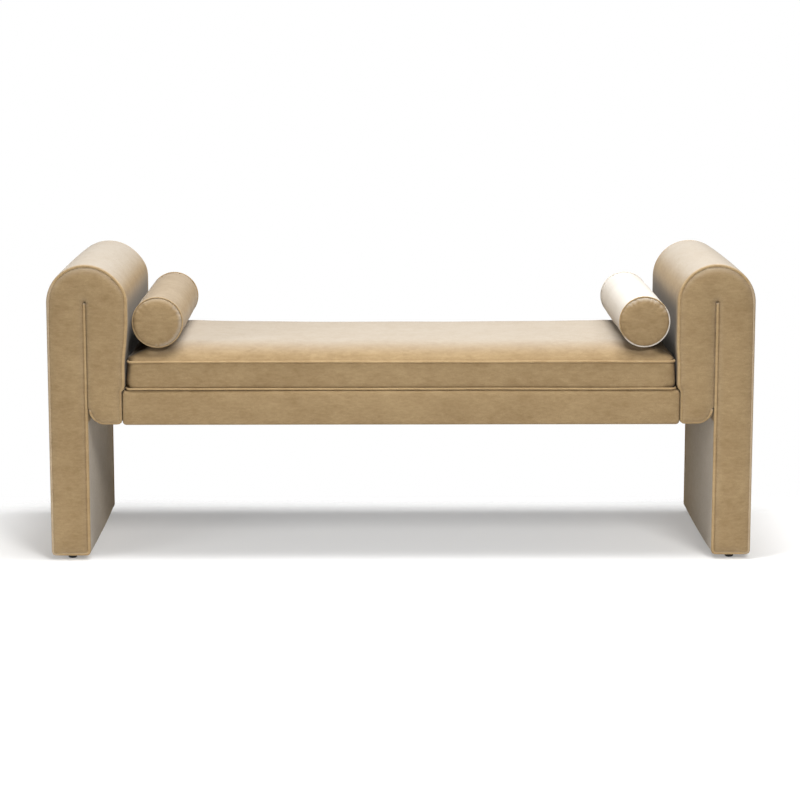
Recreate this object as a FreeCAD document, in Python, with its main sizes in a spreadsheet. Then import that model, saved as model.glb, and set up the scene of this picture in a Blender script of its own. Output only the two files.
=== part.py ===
"""Upholstered bench with two rolled arms, a box seat cushion and two bolsters.

Frame: the middle of the floor under the bench is the origin, +X runs along the bench, +Y to its back, +Z up.
Each arm is an upside-down J: a slab leg, a half-round top and a shorter flap on the seat's side, with a slit
between leg and flap. The right arm is the left one swung half a turn about the upright axis.
"""
import FreeCAD, Part
import math
import os
import re
import Sketcher

# Driving sizes in millimetres, each with what it measures
SIZES = (
    ("overall_width", "1524", "outer side of one arm to outer side of the other"),
    ("overall_depth", "508", "front face to back face of the arms"),
    ("overall_height", "648", "floor to the top of the arms"),
    ("arm_width", "168", "leg and flap of one arm together"),
    ("slit_width", "2", "open slit between leg and flap"),
    ("leg_lift", "10", "floor to the underside of the legs"),
    ("leg_corner_radius", "9", "rounding of the leg's lower corners"),
    ("flap_corner_radius", "36", "rounding under the flap, on the leg's side"),
    ("flap_edge_radius", "9", "rounding under the flap, on the seat's side"),
    ("cover_thickness", "1.5", "velvet with its backing"),
    ("layer_gap", "0.3", "room between two layers of upholstery"),
    ("arm_foam_thickness", "10", "foam round the arm's frame"),
    ("face_pad_thickness", "10", "foam on the arm's front and back"),
    ("arm_skin_thickness", "3", "bent plywood round the arm's frame"),
    ("arm_piping_diameter", "7", "piped seam round the arm's faces"),
    ("rib_thickness", "18", "plywood of the J-shaped ribs"),
    ("base_rail_height", "45", "bottom rail of the leg"),
    ("mount_rail_thickness", "30", "rail in the flap that takes the bolts"),
    ("mount_rail_height", "56", "same rail, upright"),
    ("stretcher_height", "22", "battens between the ribs"),
    ("stretcher_drop", "150", "first leg batten to the next"),
    ("seat_bottom", "300", "floor to the underside of the seat and flaps"),
    ("seat_height", "74", "seat frame with its cover"),
    ("seat_setback", "2", "seat's front behind the arm's front"),
    ("seat_corner_radius", "8", "upright corners of the seat cover"),
    ("seat_edge_radius", "4", "long edges of the seat cover"),
    ("seat_hem_width", "30", "cover turned under the seat"),
    ("rail_thickness", "25", "timber of the seat frame"),
    ("rail_pad_thickness", "5", "padding on the seat's front and back"),
    ("deck_pad_thickness", "8", "padding on the webbing"),
    ("webbing_thickness", "2", "elastic straps"),
    ("webbing_width", "60", "elastic straps"),
    ("webbing_pitch", "96", "one strap to the next"),
    ("corner_block_size", "60", "legs of the three-cornered blocks"),
    ("corner_block_height", "45", "three-cornered blocks, upright"),
    ("brace_thickness", "25", "cross braces under the webbing"),
    ("brace_height", "36", "cross braces, upright"),
    ("dust_cover_thickness", "1", "cloth under the seat"),
    ("dust_cover_inset", "8", "cloth's edge from the seat's side"),
    ("bolt_diameter", "8", "seat bolts"),
    ("bolt_head_diameter", "14", "round heads of the bolts"),
    ("bolt_head_height", "5", "round heads of the bolts"),
    ("bolt_spread", "200", "front bolt to back bolt"),
    ("bolt_clearance", "0.5", "room round a bolt in timber"),
    ("bolt_window", "14", "square window round a bolt in cloth, foam and skin"),
    ("bolt_end_margin", "2", "bolt's end past its nut"),
    ("thread_gap", "0.1", "room round a bolt in its nut"),
    ("washer_diameter", "20", "bolt washers"),
    ("washer_thickness", "2", "bolt washers"),
    ("tee_nut_flange_diameter", "22", "flange of the nuts"),
    ("tee_nut_flange_thickness", "1.5", "flange of the nuts"),
    ("tee_nut_barrel_diameter", "10.5", "barrel of the nuts"),
    ("tee_nut_barrel_length", "9", "barrel of the nuts"),
    ("glide_diameter", "19", "glides under the legs"),
    ("glide_chamfer", "2", "lower edge of the glides"),
    ("glide_setback", "32", "glide's middle from the arm's face"),
    ("glide_floor", "3", "glide under its nail"),
    ("nail_diameter", "2.6", "nail of the glide"),
    ("nail_reach", "20", "nail in the base rail"),
    ("nail_tip", "4", "point of the nail"),
    ("nail_gap", "0.1", "room round the nail"),
    ("cushion_end_gap", "2.4", "cushion's end to the arm"),
    ("cushion_setback", "4", "cushion's front behind the arm's front"),
    ("cushion_boxing_height", "60", "lower piped seam to upper piped seam"),
    ("cushion_crown", "27.5", "upper piped seam to the top of the crown"),
    ("cushion_shoulder", "36", "rounded edge of the crown, inwards"),
    ("cushion_dome", "1.5", "rise of the crown inside its shoulder"),
    ("cushion_draw_in", "3", "upper seam drawn in from the lower one"),
    ("cushion_corner_radius", "24", "corners of the cushion"),
    ("cushion_piping_diameter", "4.5", "piped seams of the cushion"),
    ("cushion_piping_proud", "2", "piping outside the boxing"),
    ("zip_end_margin", "141", "zip's end to the cushion's end"),
    ("zip_width", "22", "zip's tape"),
    ("zip_thickness", "1.4", "zip's tape"),
    ("slider_length", "11", "zip's slider along the zip"),
    ("slider_width", "8", "zip's slider across the zip"),
    ("slider_thickness", "2.6", "zip's slider outwards"),
    ("slider_end_margin", "14", "slider's middle from the zip's end"),
    ("pull_length", "20", "tab of the slider"),
    ("pull_width", "6", "tab of the slider"),
    ("pull_thickness", "1.2", "tab of the slider"),
    ("bolster_diameter", "112", "bolsters at the middle"),
    ("bolster_setback", "12", "bolster's end behind the arm's front"),
    ("bolster_end_crown", "8", "rise of a bolster's end"),
    ("bolster_draw_in", "2", "bolster's ends thinner than its middle, on the radius"),
    ("bolster_piping_diameter", "3.4", "piped seams of the bolsters"),
    ("bolster_piping_proud", "1.4", "piping outside the bolster's cover"),
    ("bolster_arm_gap", "12.5", "bolster to the arm"),
    ("overrun", "5", "cuts reach this far past what they cut"),
)
NAMES = {name for name, size, meaning in SIZES}
CROWN_STEPS = 4
DOME_SHARE = 0.55
PIPING_SIDES = 6
END_RIM_SHARE, END_RISE_SHARE = 0.6, 0.75

UP = FreeCAD.Vector(0, 0, 1)
HALF_TURN = FreeCAD.Placement(FreeCAD.Vector(0, 0, 0), FreeCAD.Rotation(UP, 180))
FRONT, BACK = -1, 1

document = FreeCAD.newDocument("bench")
sheet = document.addObject("Spreadsheet::Sheet", "sizes")
for row, (name, size, meaning) in enumerate(SIZES, start=1):
    sheet.set(f"A{row}", meaning)
    sheet.set(f"B{row}", size)
    sheet.setAlias(f"B{row}", name)
document.recompute()


# Expressions over the sheet

def bound(text):
    """The text with each size's name pointed at its cell."""
    return re.sub(r"[a-z_]+", lambda word: f"sizes.{word[0]}" if word[0] in NAMES else word[0], text)


def number(text):
    """What an expression over the sizes comes to."""
    return float(sheet.evalExpression(bound(text)))


def bind(piece, **properties):
    """Ties a piece's own sizes to expressions over the sheet."""
    for name, text in properties.items():
        piece.setExpression(name, bound(text))


def place(piece, x="0", y="0", z="0", turned=False):
    """Puts a piece at a place, or at the place half a turn round from it."""
    if turned:
        piece.Placement = HALF_TURN
    sign = "-1" if turned else "1"
    piece.setExpression("Placement.Base.x", bound(f"{sign} * ({x})"))
    piece.setExpression("Placement.Base.y", bound(f"{sign} * ({y})"))
    piece.setExpression("Placement.Base.z", bound(z))


# Places that many pieces share

LEG = "(arm_width / 2)"
FLAP_U = f"({LEG} + slit_width)"
ARCH_Z = "(overall_height - arm_width / 2)"
LAYER = "(cover_thickness + layer_gap)"
FOAM_IN = f"({LAYER} + arm_foam_thickness)"
SKIN_OUT = f"({FOAM_IN} + layer_gap)"
SKIN_IN = f"({SKIN_OUT} + arm_skin_thickness)"
RIB_OUT = f"({SKIN_IN} + layer_gap)"
PIPED_EDGE = "(arm_piping_diameter + layer_gap)"
PIPING_LINE = "(arm_piping_diameter / 2)"
PAD_BACK = f"({LAYER} + face_pad_thickness)"
RIB_FRONT = f"({PAD_BACK} + layer_gap)"
RIB_BACK = f"({RIB_FRONT} + rib_thickness)"
ARM_FOOT = f"(leg_lift + {LAYER})"
BETWEEN_RIBS = f"(overall_depth / 2 - {RIB_BACK})"

SEAT_TOP = "(seat_bottom + seat_height)"
SEAT_X = "(overall_width / 2 - arm_width - layer_gap)"
SEAT_Y = "(overall_depth / 2 - seat_setback)"
HEM_TOP = "(seat_bottom + dust_cover_thickness + cover_thickness)"
DECK_TOP = f"({SEAT_TOP} - {LAYER})"
WEBBING_TOP = f"({DECK_TOP} - deck_pad_thickness)"
RAIL_TOP = f"({WEBBING_TOP} - webbing_thickness)"
RAIL_X = f"({SEAT_X} - {LAYER})"
RAIL_Y = f"({SEAT_Y} - {LAYER} - rail_pad_thickness - layer_gap)"

MOUNT_BOTTOM = f"(seat_bottom + {RIB_OUT})"
BOLT_Z = f"(({MOUNT_BOTTOM} + {RAIL_TOP}) / 2)"

CUSHION_BOTTOM = f"({SEAT_TOP} + layer_gap)"
CUSHION_X = "(overall_width / 2 - arm_width - cushion_end_gap)"
CUSHION_Y = "(overall_depth / 2 - cushion_setback)"
LOWER_SEAM = f"({CUSHION_BOTTOM} + cushion_piping_diameter / 2)"
UPPER_SEAM = f"({LOWER_SEAM} + cushion_boxing_height)"
CUSHION_TOP = f"({UPPER_SEAM} + cushion_crown)"
SEAM_ROOM = "(cushion_piping_diameter / 2 + layer_gap)"
SEAM_DEPTH = "(cushion_piping_diameter - cushion_piping_proud + layer_gap)"
ZIP_X = f"({CUSHION_X} - zip_end_margin)"
ZIP_Z = f"({LOWER_SEAM} + cushion_boxing_height / 2)"
ZIP_Y = f"({CUSHION_Y} - cushion_draw_in / 2)"

BOLSTER_X = "(overall_width / 2 - arm_width - bolster_arm_gap - bolster_diameter / 2)"
DOME_RUN = f"({DOME_SHARE} * ({CUSHION_Y} - cushion_shoulder))"
BOLSTER_RUN = f"({CUSHION_X} - {BOLSTER_X} - cushion_shoulder)"
BOLSTER_SEAT = f"({CUSHION_TOP} + cushion_dome * {BOLSTER_RUN} / {DOME_RUN} + layer_gap)"
BOLSTER_Z = f"({BOLSTER_SEAT} + bolster_diameter / 2)"
BOLSTER_SEAM = "(overall_depth / 2 - bolster_setback - bolster_end_crown)"
BOLSTER_END = "(bolster_diameter / 2 - bolster_draw_in)"


# Bodies, sketches and outlines

def new_body(label, turned=False):
    """A body with its own label, swung half a turn where asked."""
    body = document.addObject("PartDesign::Body", label)
    body.Label = label
    if turned:
        body.Placement = HALF_TURN
    return body


def new_sketch(body, role, offset="0"):
    """A sketch on one of the body's own planes, set off along that plane's normal."""
    sketch = body.newObject("Sketcher::SketchObject", f"{body.Label}_sketch")
    plane = next(feature for feature in body.Origin.OriginFeatures if feature.Role == role)
    sketch.AttachmentSupport = (plane, [""])
    sketch.MapMode = "FlatFace"
    sketch.setExpression("AttachmentOffset.Base.z", bound(offset))
    return sketch


def hold(sketch, kind, geometry, point, text):
    """Ties one coordinate of a sketch's point to an expression."""
    index = sketch.addConstraint(Sketcher.Constraint(kind, -1, 1, geometry, point, number(text)))
    sketch.setExpression(f"Constraints[{index}]", bound(text))


def hold_point(sketch, geometry, point, x, y):
    hold(sketch, "DistanceX", geometry, point, x)
    hold(sketch, "DistanceY", geometry, point, y)


def line_to(x, y):
    """A corner reached by a straight line."""
    return {"x": x, "y": y}


def arc_to(x, y, centre_x, centre_y, left=False):
    """A corner reached by an arc, which turns right unless it says left."""
    return {"x": x, "y": y, "centre": (centre_x, centre_y), "left": left}


def backwards(corners):
    """The same open run of corners, walked from its other end."""
    run = [line_to(corners[-1]["x"], corners[-1]["y"])]
    for here, after in zip(corners[-2::-1], corners[:0:-1]):
        if "centre" in after:
            run.append(arc_to(here["x"], here["y"], *after["centre"], left=not after["left"]))
        else:
            run.append(line_to(here["x"], here["y"]))
    return run


def edge_between(before, here):
    """The line or arc between two corners, and which of its own ends come first and last on the walk."""
    start = FreeCAD.Vector(number(before["x"]), number(before["y"]), 0)
    end = FreeCAD.Vector(number(here["x"]), number(here["y"]), 0)
    if "centre" not in here:
        return Part.LineSegment(start, end), (1, 2)
    centre = FreeCAD.Vector(number(here["centre"][0]), number(here["centre"][1]), 0)
    first, last = (start, end) if here["left"] else (end, start)
    angles = [math.atan2(point.y - centre.y, point.x - centre.x) for point in (first, last)]
    circle = Part.Circle(centre, UP, start.distanceToPoint(centre))
    return Part.ArcOfCircle(circle, *angles), (1, 2) if here["left"] else (2, 1)


def draw(sketch, corners, closed=True):
    """Draws a run of corners in a sketch and ties every corner and arc to the sheet."""
    walk = []
    for index in range(0 if closed else 1, len(corners)):
        before, here = corners[index - 1], corners[index]
        geometry, ends = edge_between(before, here)
        edge = sketch.addGeometry(geometry)
        if walk:
            sketch.addConstraint(Sketcher.Constraint("Coincident", walk[-1][0], walk[-1][1][1], edge, ends[0]))
        walk.append((edge, ends))
        hold_point(sketch, edge, ends[1], here["x"], here["y"])
        if "centre" in here:
            across = abs(number(here["x"]) - number(before["x"]))
            upright = abs(number(here["y"]) - number(before["y"]))
            if across > upright:
                hold(sketch, "DistanceY", edge, 3, here["centre"][1])
            else:
                hold(sketch, "DistanceX", edge, 3, here["centre"][0])
    first_edge, first_ends = walk[0]
    if closed:
        sketch.addConstraint(
            Sketcher.Constraint("Coincident", walk[-1][0], walk[-1][1][1], first_edge, first_ends[0])
        )
    else:
        hold_point(sketch, first_edge, first_ends[0], corners[0]["x"], corners[0]["y"])


def draw_circle(sketch, x, y, diameter):
    circle = Part.Circle(FreeCAD.Vector(number(x), number(y), 0), UP, number(diameter) / 2)
    edge = sketch.addGeometry(circle)
    hold_point(sketch, edge, 3, x, y)
    index = sketch.addConstraint(Sketcher.Constraint("Diameter", edge, number(diameter)))
    sketch.setExpression(f"Constraints[{index}]", bound(diameter))


def piping_section(x, y, diameter):
    """The cut end of a piped seam, as an even polygon, walked clockwise."""
    corners = []
    for side in range(PIPING_SIDES):
        angle = -2 * math.pi * side / PIPING_SIDES
        across, upright = f"{math.cos(angle):.6f} * {diameter} / 2", f"{math.sin(angle):.6f} * {diameter} / 2"
        corners.append(line_to(f"({x} + {across})", f"({y} + {upright})"))
    return corners


def rectangle(x_low, y_low, x_high, y_high):
    return [line_to(x_low, y_low), line_to(x_low, y_high), line_to(x_high, y_high), line_to(x_high, y_low)]


def rounded_rectangle(half_x, half_y, radius):
    """A rectangle about the origin with rounded corners, walked clockwise."""
    in_x, in_y = f"({half_x} - {radius})", f"({half_y} - {radius})"
    return [
        line_to(f"-({half_x})", in_y),
        arc_to(f"-({in_x})", half_y, f"-({in_x})", in_y),
        line_to(in_x, half_y),
        arc_to(half_x, in_y, in_x, in_y),
        line_to(half_x, f"-({in_y})"),
        arc_to(in_x, f"-({half_y})", in_x, f"-({in_y})"),
        line_to(f"-({in_x})", f"-({half_y})"),
        arc_to(f"-({half_x})", f"-({in_y})", f"-({in_x})", f"-({in_y})"),
    ]


def pad(body, sketch, length):
    """Adds a sketch's outline to the body, along the sketch's normal."""
    feature = body.newObject("PartDesign::Pad", f"{body.Label}_pad")
    feature.Profile = sketch
    bind(feature, Length=length)
    return feature


def pocket(body, sketch, length):
    """Cuts a sketch's outline out of the body, against the sketch's normal."""
    document.recompute()
    before = body.Shape.Volume
    feature = body.newObject("PartDesign::Pocket", f"{body.Label}_pocket")
    feature.Profile = sketch
    bind(feature, Length=length)
    document.recompute()
    if not body.Shape.Volume < before:
        raise ValueError(f"a cut in {body.Label} takes nothing away")
    return feature


def extrude(label, role, outlines, start, length, turned=False):
    """A body made of one pad of one or more outlines."""
    body = new_body(label, turned)
    sketch = new_sketch(body, role, start)
    for outline in outlines:
        draw(sketch, outline)
    pad(body, sketch, length)
    return body


def extrude_along_y(label, outlines, y_low, y_high, turned=False):
    """A side profile given its depth; the upright long plane's normal points to the front."""
    return extrude(label, "XZ_Plane", outlines, f"-({y_high})", f"({y_high}) - ({y_low})", turned)


def revolve(label, role, corners):
    """A body turned from half an outline about its sketch's upright axis."""
    body = new_body(label)
    sketch = new_sketch(body, role)
    draw(sketch, corners)
    feature = body.newObject("PartDesign::Revolution", f"{label}_turned")
    feature.Profile = sketch
    feature.ReferenceAxis = (sketch, ["V_Axis"])
    return body


def box(label, low, high, turned=False):
    """A timber, strap or sheet between two opposite corners."""
    piece = document.addObject("Part::Box", label)
    piece.Label = label
    sides = [f"({top}) - ({bottom})" for bottom, top in zip(low, high)]
    bind(piece, Length=sides[0], Width=sides[1], Height=sides[2])
    place(piece, *low, turned=turned)
    return piece


def group(label, pieces):
    """Like pieces that share one name."""
    for index, piece in enumerate(pieces, start=1):
        piece.Label = f"{label}_{index}"
    together = document.addObject("Part::Compound", label)
    together.Label = label
    together.Links = pieces
    return together


# The arms

def arm_x(u):
    """A place across the left arm, measured from its outer side."""
    return f"({u} - overall_width / 2)"


def between(end, near, far):
    """From-to in depth, both measured inwards from the arm's front or back face."""
    if end == FRONT:
        return f"({near} - overall_depth / 2)", f"({far} - overall_depth / 2)"
    return f"(overall_depth / 2 - {far})", f"(overall_depth / 2 - {near})"


def arm_run(out, foot, flap=None):
    """The J from the leg's outer foot to its inner foot, taken in by `out`, and in the slit on the flap by `flap`."""
    left, right = arm_x(out), arm_x(f"arm_width - {out}")
    slit_right, slit_left = arm_x(f"{FLAP_U} + {flap or out}"), arm_x(f"{LEG} - {out}")
    slit_middle = f"(({slit_right} + {slit_left}) / 2)"
    under = f"(seat_bottom + {out})"
    corner, edge = f"(flap_corner_radius - {out})", f"(flap_edge_radius - {out})"
    corner_left = arm_x(f"{FLAP_U} + {out}")
    run = [
        line_to(left, foot),
        line_to(left, ARCH_Z),
        arc_to(right, ARCH_Z, arm_x("arm_width / 2"), ARCH_Z),
    ]
    if number(edge) > number("layer_gap"):
        run.append(line_to(right, f"({under} + {edge})"))
        run.append(arc_to(f"({right} - {edge})", under, f"({right} - {edge})", f"({under} + {edge})"))
    else:
        run.append(line_to(right, under))
    run.append(line_to(f"({corner_left} + {corner})", under))
    run.append(
        arc_to(corner_left, f"({under} + {corner})", f"({corner_left} + {corner})", f"({under} + {corner})")
    )
    if flap:
        run.append(line_to(slit_right, f"({under} + {corner} + {out} - {flap})"))
    run.append(line_to(slit_right, ARCH_Z))
    run.append(arc_to(slit_left, ARCH_Z, slit_middle, ARCH_Z, left=True))
    run.append(line_to(slit_left, foot))
    return run


def arm_ring(out, flap=None):
    """The whole J, closed round the foot with rounded corners."""
    radius = f"(leg_corner_radius - {out})"
    foot = f"(leg_lift + {out})"
    run = arm_run(out, f"({foot} + {radius})", flap)
    left, right = arm_x(out), arm_x(f"{LEG} - {out}")
    centre_z = f"({foot} + {radius})"
    run.append(arc_to(f"({right} - {radius})", foot, f"({right} - {radius})", centre_z))
    run.append(line_to(f"({left} + {radius})", foot))
    run[0] = arc_to(left, centre_z, f"({left} + {radius})", centre_z)
    return run


def arm_piping_run():
    """The piped seam: down the leg's inner edge, round the foot, over the top and under the flap to the slit."""
    ring = arm_ring(PIPING_LINE)
    slit_end = next(index for index, corner in enumerate(ring) if corner.get("left"))
    loop = ring[slit_end:] + ring[: slit_end - 1]
    return [line_to(loop[0]["x"], loop[0]["y"])] + loop[1:]


def drill_for_bolts(body, outer_x, depth, diameter):
    """Cuts the bolt holes through a timber, from its side that faces the bench's right end."""
    sketch = new_sketch(body, "YZ_Plane", outer_x)
    for end in (FRONT, BACK):
        draw_circle(sketch, f"{end} * bolt_spread / 2", BOLT_Z, diameter)
    pocket(body, sketch, depth)


def cut_bolt_windows(body, outer_x, wall):
    """Cuts a square window round each bolt through cloth, foam or skin."""
    sketch = new_sketch(body, "YZ_Plane", f"({outer_x} + layer_gap)")
    for end in (FRONT, BACK):
        y = f"{end} * bolt_spread / 2"
        draw(sketch, rectangle(f"({y} - bolt_window / 2)", f"({BOLT_Z} - bolt_window / 2)",
                               f"({y} + bolt_window / 2)", f"({BOLT_Z} + bolt_window / 2)"))
    pocket(body, sketch, f"{wall} + 2 * layer_gap")


def drill_for_nails(body, top, bottom):
    """Cuts the two holes for the glides' nails, from inside the leg down past its underside."""
    sketch = new_sketch(body, "XY_Plane", top)
    for end in (FRONT, BACK):
        draw_circle(sketch, arm_x(f"{LEG} / 2"), f"{end} * (overall_depth / 2 - glide_setback)",
                    "nail_diameter + 2 * nail_gap")
    pocket(body, sketch, f"{top} - {bottom} + overrun")


def arm_frame(name, turned):
    """Ribs, rails, battens and the bent skin."""
    pieces = []
    ends = {"front": BACK, "back": FRONT} if turned else {"front": FRONT, "back": BACK}
    for word, end in ends.items():
        low, high = between(end, RIB_FRONT, RIB_BACK)
        pieces.append(extrude_along_y(f"{name}_{word}_rib", [arm_run(RIB_OUT, ARM_FOOT)], low, high, turned))
    low_y, high_y = f"-{BETWEEN_RIBS}", BETWEEN_RIBS
    leg_low, leg_high = arm_x(RIB_OUT), arm_x(f"{LEG} - {RIB_OUT}")
    flap_low, flap_high = arm_x(f"{FLAP_U} + {RIB_OUT}"), arm_x(f"arm_width - {RIB_OUT}")

    base = extrude_along_y(
        f"{name}_base_rail",
        [rectangle(leg_low, ARM_FOOT, leg_high, f"({ARM_FOOT} + base_rail_height)")], low_y, high_y, turned,
    )
    drill_for_nails(base, f"({ARM_FOOT} + nail_reach + nail_gap)", ARM_FOOT)
    pieces.append(base)

    mount = extrude_along_y(
        f"{name}_mount_rail",
        [rectangle(f"({flap_high} - mount_rail_thickness)", MOUNT_BOTTOM,
                   flap_high, f"({MOUNT_BOTTOM} + mount_rail_height)")], low_y, high_y, turned,
    )
    drill_for_bolts(mount, f"({flap_high} + overrun)", "mount_rail_thickness + 2 * overrun",
                    "tee_nut_barrel_diameter + 2 * thread_gap")
    pieces.append(mount)

    battens = []
    for step in (0, 1):
        top = f"({ARCH_Z} - {step} * stretcher_drop)"
        low, high = (leg_low, low_y, f"({top} - stretcher_height)"), (leg_high, high_y, top)
        battens.append(box(f"{name}_leg_batten", low, high, turned))
    low, high = (flap_low, low_y, f"({ARCH_Z} - stretcher_height)"), (flap_high, high_y, ARCH_Z)
    battens.append(box(f"{name}_flap_batten", low, high, turned))
    half = f"{LEG} / 2 - stretcher_height"
    crown = f"(overall_height - {RIB_OUT} - stretcher_height / 2)"
    low = (arm_x(f"arm_width / 2 - ({half})"), low_y, f"({crown} - stretcher_height)")
    battens.append(box(f"{name}_crown_batten", low, (arm_x(f"arm_width / 2 + {half}"), high_y, crown), turned))
    pieces.append(group(f"{name}_battens", battens))

    depth = f"(overall_depth / 2 - {RIB_FRONT})"
    band = arm_run(SKIN_OUT, ARM_FOOT) + backwards(arm_run(SKIN_IN, ARM_FOOT))
    skin = extrude_along_y(f"{name}_skin", [band], f"-{depth}", depth, turned)
    cut_bolt_windows(skin, arm_x(f"arm_width - {SKIN_OUT}"), "arm_skin_thickness")
    pieces.append(skin)
    return pieces


def arm_upholstery(name, turned):
    """Foam, face pads, the velvet boxing and faces, and the piped seams."""
    pieces = []
    ends = {"front": BACK, "back": FRONT} if turned else {"front": FRONT, "back": BACK}
    depth = f"(overall_depth / 2 - {RIB_FRONT})"
    foam_foot = "(leg_lift + leg_corner_radius)"
    band = arm_run(LAYER, foam_foot) + backwards(arm_run(FOAM_IN, foam_foot))
    foam = extrude_along_y(f"{name}_wrap_foam", [band], f"-{depth}", depth, turned)
    cut_bolt_windows(foam, arm_x(f"arm_width - {LAYER}"), "arm_foam_thickness")
    pieces.append(foam)

    depth = f"(overall_depth / 2 - {PIPED_EDGE})"
    rings = [arm_ring("0"), arm_ring("cover_thickness")]
    boxing = extrude_along_y(f"{name}_boxing", rings, f"-{depth}", depth, turned)
    cut_bolt_windows(boxing, arm_x("arm_width"), "cover_thickness")
    drill_for_nails(boxing, ARM_FOOT, "leg_lift")
    pieces.append(boxing)

    for word, end in ends.items():
        low, high = between(end, LAYER, PAD_BACK)
        face = arm_ring(PIPED_EDGE, flap=LAYER)
        pieces.append(extrude_along_y(f"{name}_{word}_pad", [face], low, high, turned))
        low, high = between(end, "0", "cover_thickness")
        face = arm_ring(PIPED_EDGE, flap="layer_gap")
        pieces.append(extrude_along_y(f"{name}_{word}_panel", [face], low, high, turned))

    seams = []
    for end in (FRONT, BACK):
        line = f"{end} * (overall_depth / 2 - {PIPING_LINE})"
        body = new_body(f"{name}_seam", turned)
        run = arm_piping_run()
        path = new_sketch(body, "XZ_Plane", f"-({line})")
        draw(path, run, closed=False)
        ring = new_sketch(body, "XY_Plane", run[0]["y"])
        draw(ring, piping_section(run[0]["x"], line, "arm_piping_diameter"))
        document.recompute()
        pipe = body.newObject("PartDesign::AdditivePipe", f"{name}_piping_pipe")
        pipe.Profile = ring
        pipe.Spine = (path, [f"Edge{index}" for index in range(1, len(run))])
        seams.append(body)
    pieces.append(group(f"{name}_piping", seams))
    return pieces


# The seat

def seat_frame():
    """Timber rails, blocks and braces."""
    pieces = []
    inner_y = f"({RAIL_Y} - rail_thickness)"
    for word, low_y, high_y in (("front", f"-{RAIL_Y}", f"-{inner_y}"), ("back", inner_y, RAIL_Y)):
        pieces.append(box(f"seat_{word}_rail", (f"-{RAIL_X}", low_y, HEM_TOP), (RAIL_X, high_y, RAIL_TOP)))
    inner_x = f"({RAIL_X} - rail_thickness)"
    for word, turned in (("left", False), ("right", True)):
        body = extrude(f"seat_{word}_end_rail", "YZ_Plane",
                       [rectangle(f"-{inner_y}", HEM_TOP, inner_y, RAIL_TOP)],
                       f"-{RAIL_X}", "rail_thickness", turned)
        drill_for_bolts(body, f"(overrun - {inner_x})", "rail_thickness + 2 * overrun",
                        "bolt_diameter + 2 * bolt_clearance")
        pieces.append(body)

    blocks = []
    middle = f"(({HEM_TOP} + {RAIL_TOP}) / 2)"
    for turned in (False, True):
        for end in (FRONT, BACK):
            side_y = f"({end} * {inner_y})"
            triangle = [
                line_to(f"-{inner_x}", side_y),
                line_to(f"-{inner_x}", f"({side_y} - {end} * corner_block_size)"),
                line_to(f"(corner_block_size - {inner_x})", side_y),
            ]
            blocks.append(extrude("seat_block", "XY_Plane", [triangle],
                                  f"({middle} - corner_block_height / 2)", "corner_block_height", turned))
    pieces.append(group("seat_corner_blocks", blocks))

    braces = []
    for side in (-1, 1):
        x = f"({side} * {RAIL_X} / 3)"
        low = (f"({x} - brace_thickness / 2)", f"-{inner_y}", HEM_TOP)
        high = (f"({x} + brace_thickness / 2)", inner_y, f"({HEM_TOP} + brace_height)")
        braces.append(box("seat_brace", low, high))
    pieces.append(group("seat_braces", braces))
    return pieces


def seat_upholstery():
    """Webbing, deck pad, velvet cover and dust cover."""
    pieces = []
    straps = []
    count = int(number(f"2 * {RAIL_X} / webbing_pitch"))
    for index in range(count):
        x = f"({index - (count - 1) / 2} * webbing_pitch)"
        low = (f"({x} - webbing_width / 2)", f"-{RAIL_Y}", RAIL_TOP)
        straps.append(box("seat_strap", low, (f"({x} + webbing_width / 2)", RAIL_Y, WEBBING_TOP)))
    pieces.append(group("seat_webbing", straps))

    outer, inner = f"({SEAT_Y} - {LAYER})", f"({SEAT_Y} - {LAYER} - rail_pad_thickness)"
    section = [
        line_to(f"-{outer}", HEM_TOP), line_to(f"-{outer}", DECK_TOP),
        line_to(outer, DECK_TOP), line_to(outer, HEM_TOP),
        line_to(inner, HEM_TOP), line_to(inner, WEBBING_TOP),
        line_to(f"-{inner}", WEBBING_TOP), line_to(f"-{inner}", HEM_TOP),
    ]
    half = f"({SEAT_X} - seat_corner_radius)"
    pieces.append(extrude("seat_deck_pad", "YZ_Plane", [section], f"-{half}", f"2 * {half}"))

    cover = extrude("seat_cover", "XY_Plane", [rounded_rectangle(SEAT_X, SEAT_Y, "seat_corner_radius")],
                    "(seat_bottom + dust_cover_thickness)", "seat_height - dust_cover_thickness")
    document.recompute()
    rims = [
        f"Edge{index}" for index, edge in enumerate(cover.Shape.Edges, start=1)
        if edge.BoundBox.ZMax < number(HEM_TOP)
    ]
    block = cover.Tip
    rounding = cover.newObject("PartDesign::Fillet", "seat_cover_edges")
    rounding.Base = (block, rims)
    bind(rounding, Radius="seat_edge_radius")
    hollow = new_sketch(cover, "XY_Plane", f"({SEAT_TOP} - cover_thickness)")
    draw(hollow, rounded_rectangle(f"({SEAT_X} - cover_thickness)", f"({SEAT_Y} - cover_thickness)",
                                   "(seat_corner_radius - cover_thickness)"))
    pocket(cover, hollow, f"{SEAT_TOP} - cover_thickness - {HEM_TOP}")
    mouth = new_sketch(cover, "XY_Plane", f"({HEM_TOP} + layer_gap)")
    draw(mouth, rounded_rectangle(f"({SEAT_X} - seat_hem_width)", f"({SEAT_Y} - seat_hem_width)",
                                  "seat_corner_radius"))
    pocket(cover, mouth, "seat_height")
    cut_bolt_windows(cover, f"(cover_thickness - {SEAT_X})", "cover_thickness")
    cut_bolt_windows(cover, SEAT_X, "cover_thickness")
    pieces.append(cover)

    edge_x, edge_y = f"({SEAT_X} - dust_cover_inset)", f"({SEAT_Y} - dust_cover_inset)"
    pieces.append(box("seat_dust_cover", (f"-{edge_x}", f"-{edge_y}", "seat_bottom"),
                      (edge_x, edge_y, "seat_bottom + dust_cover_thickness")))
    return pieces


# Bolts and glides

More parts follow.
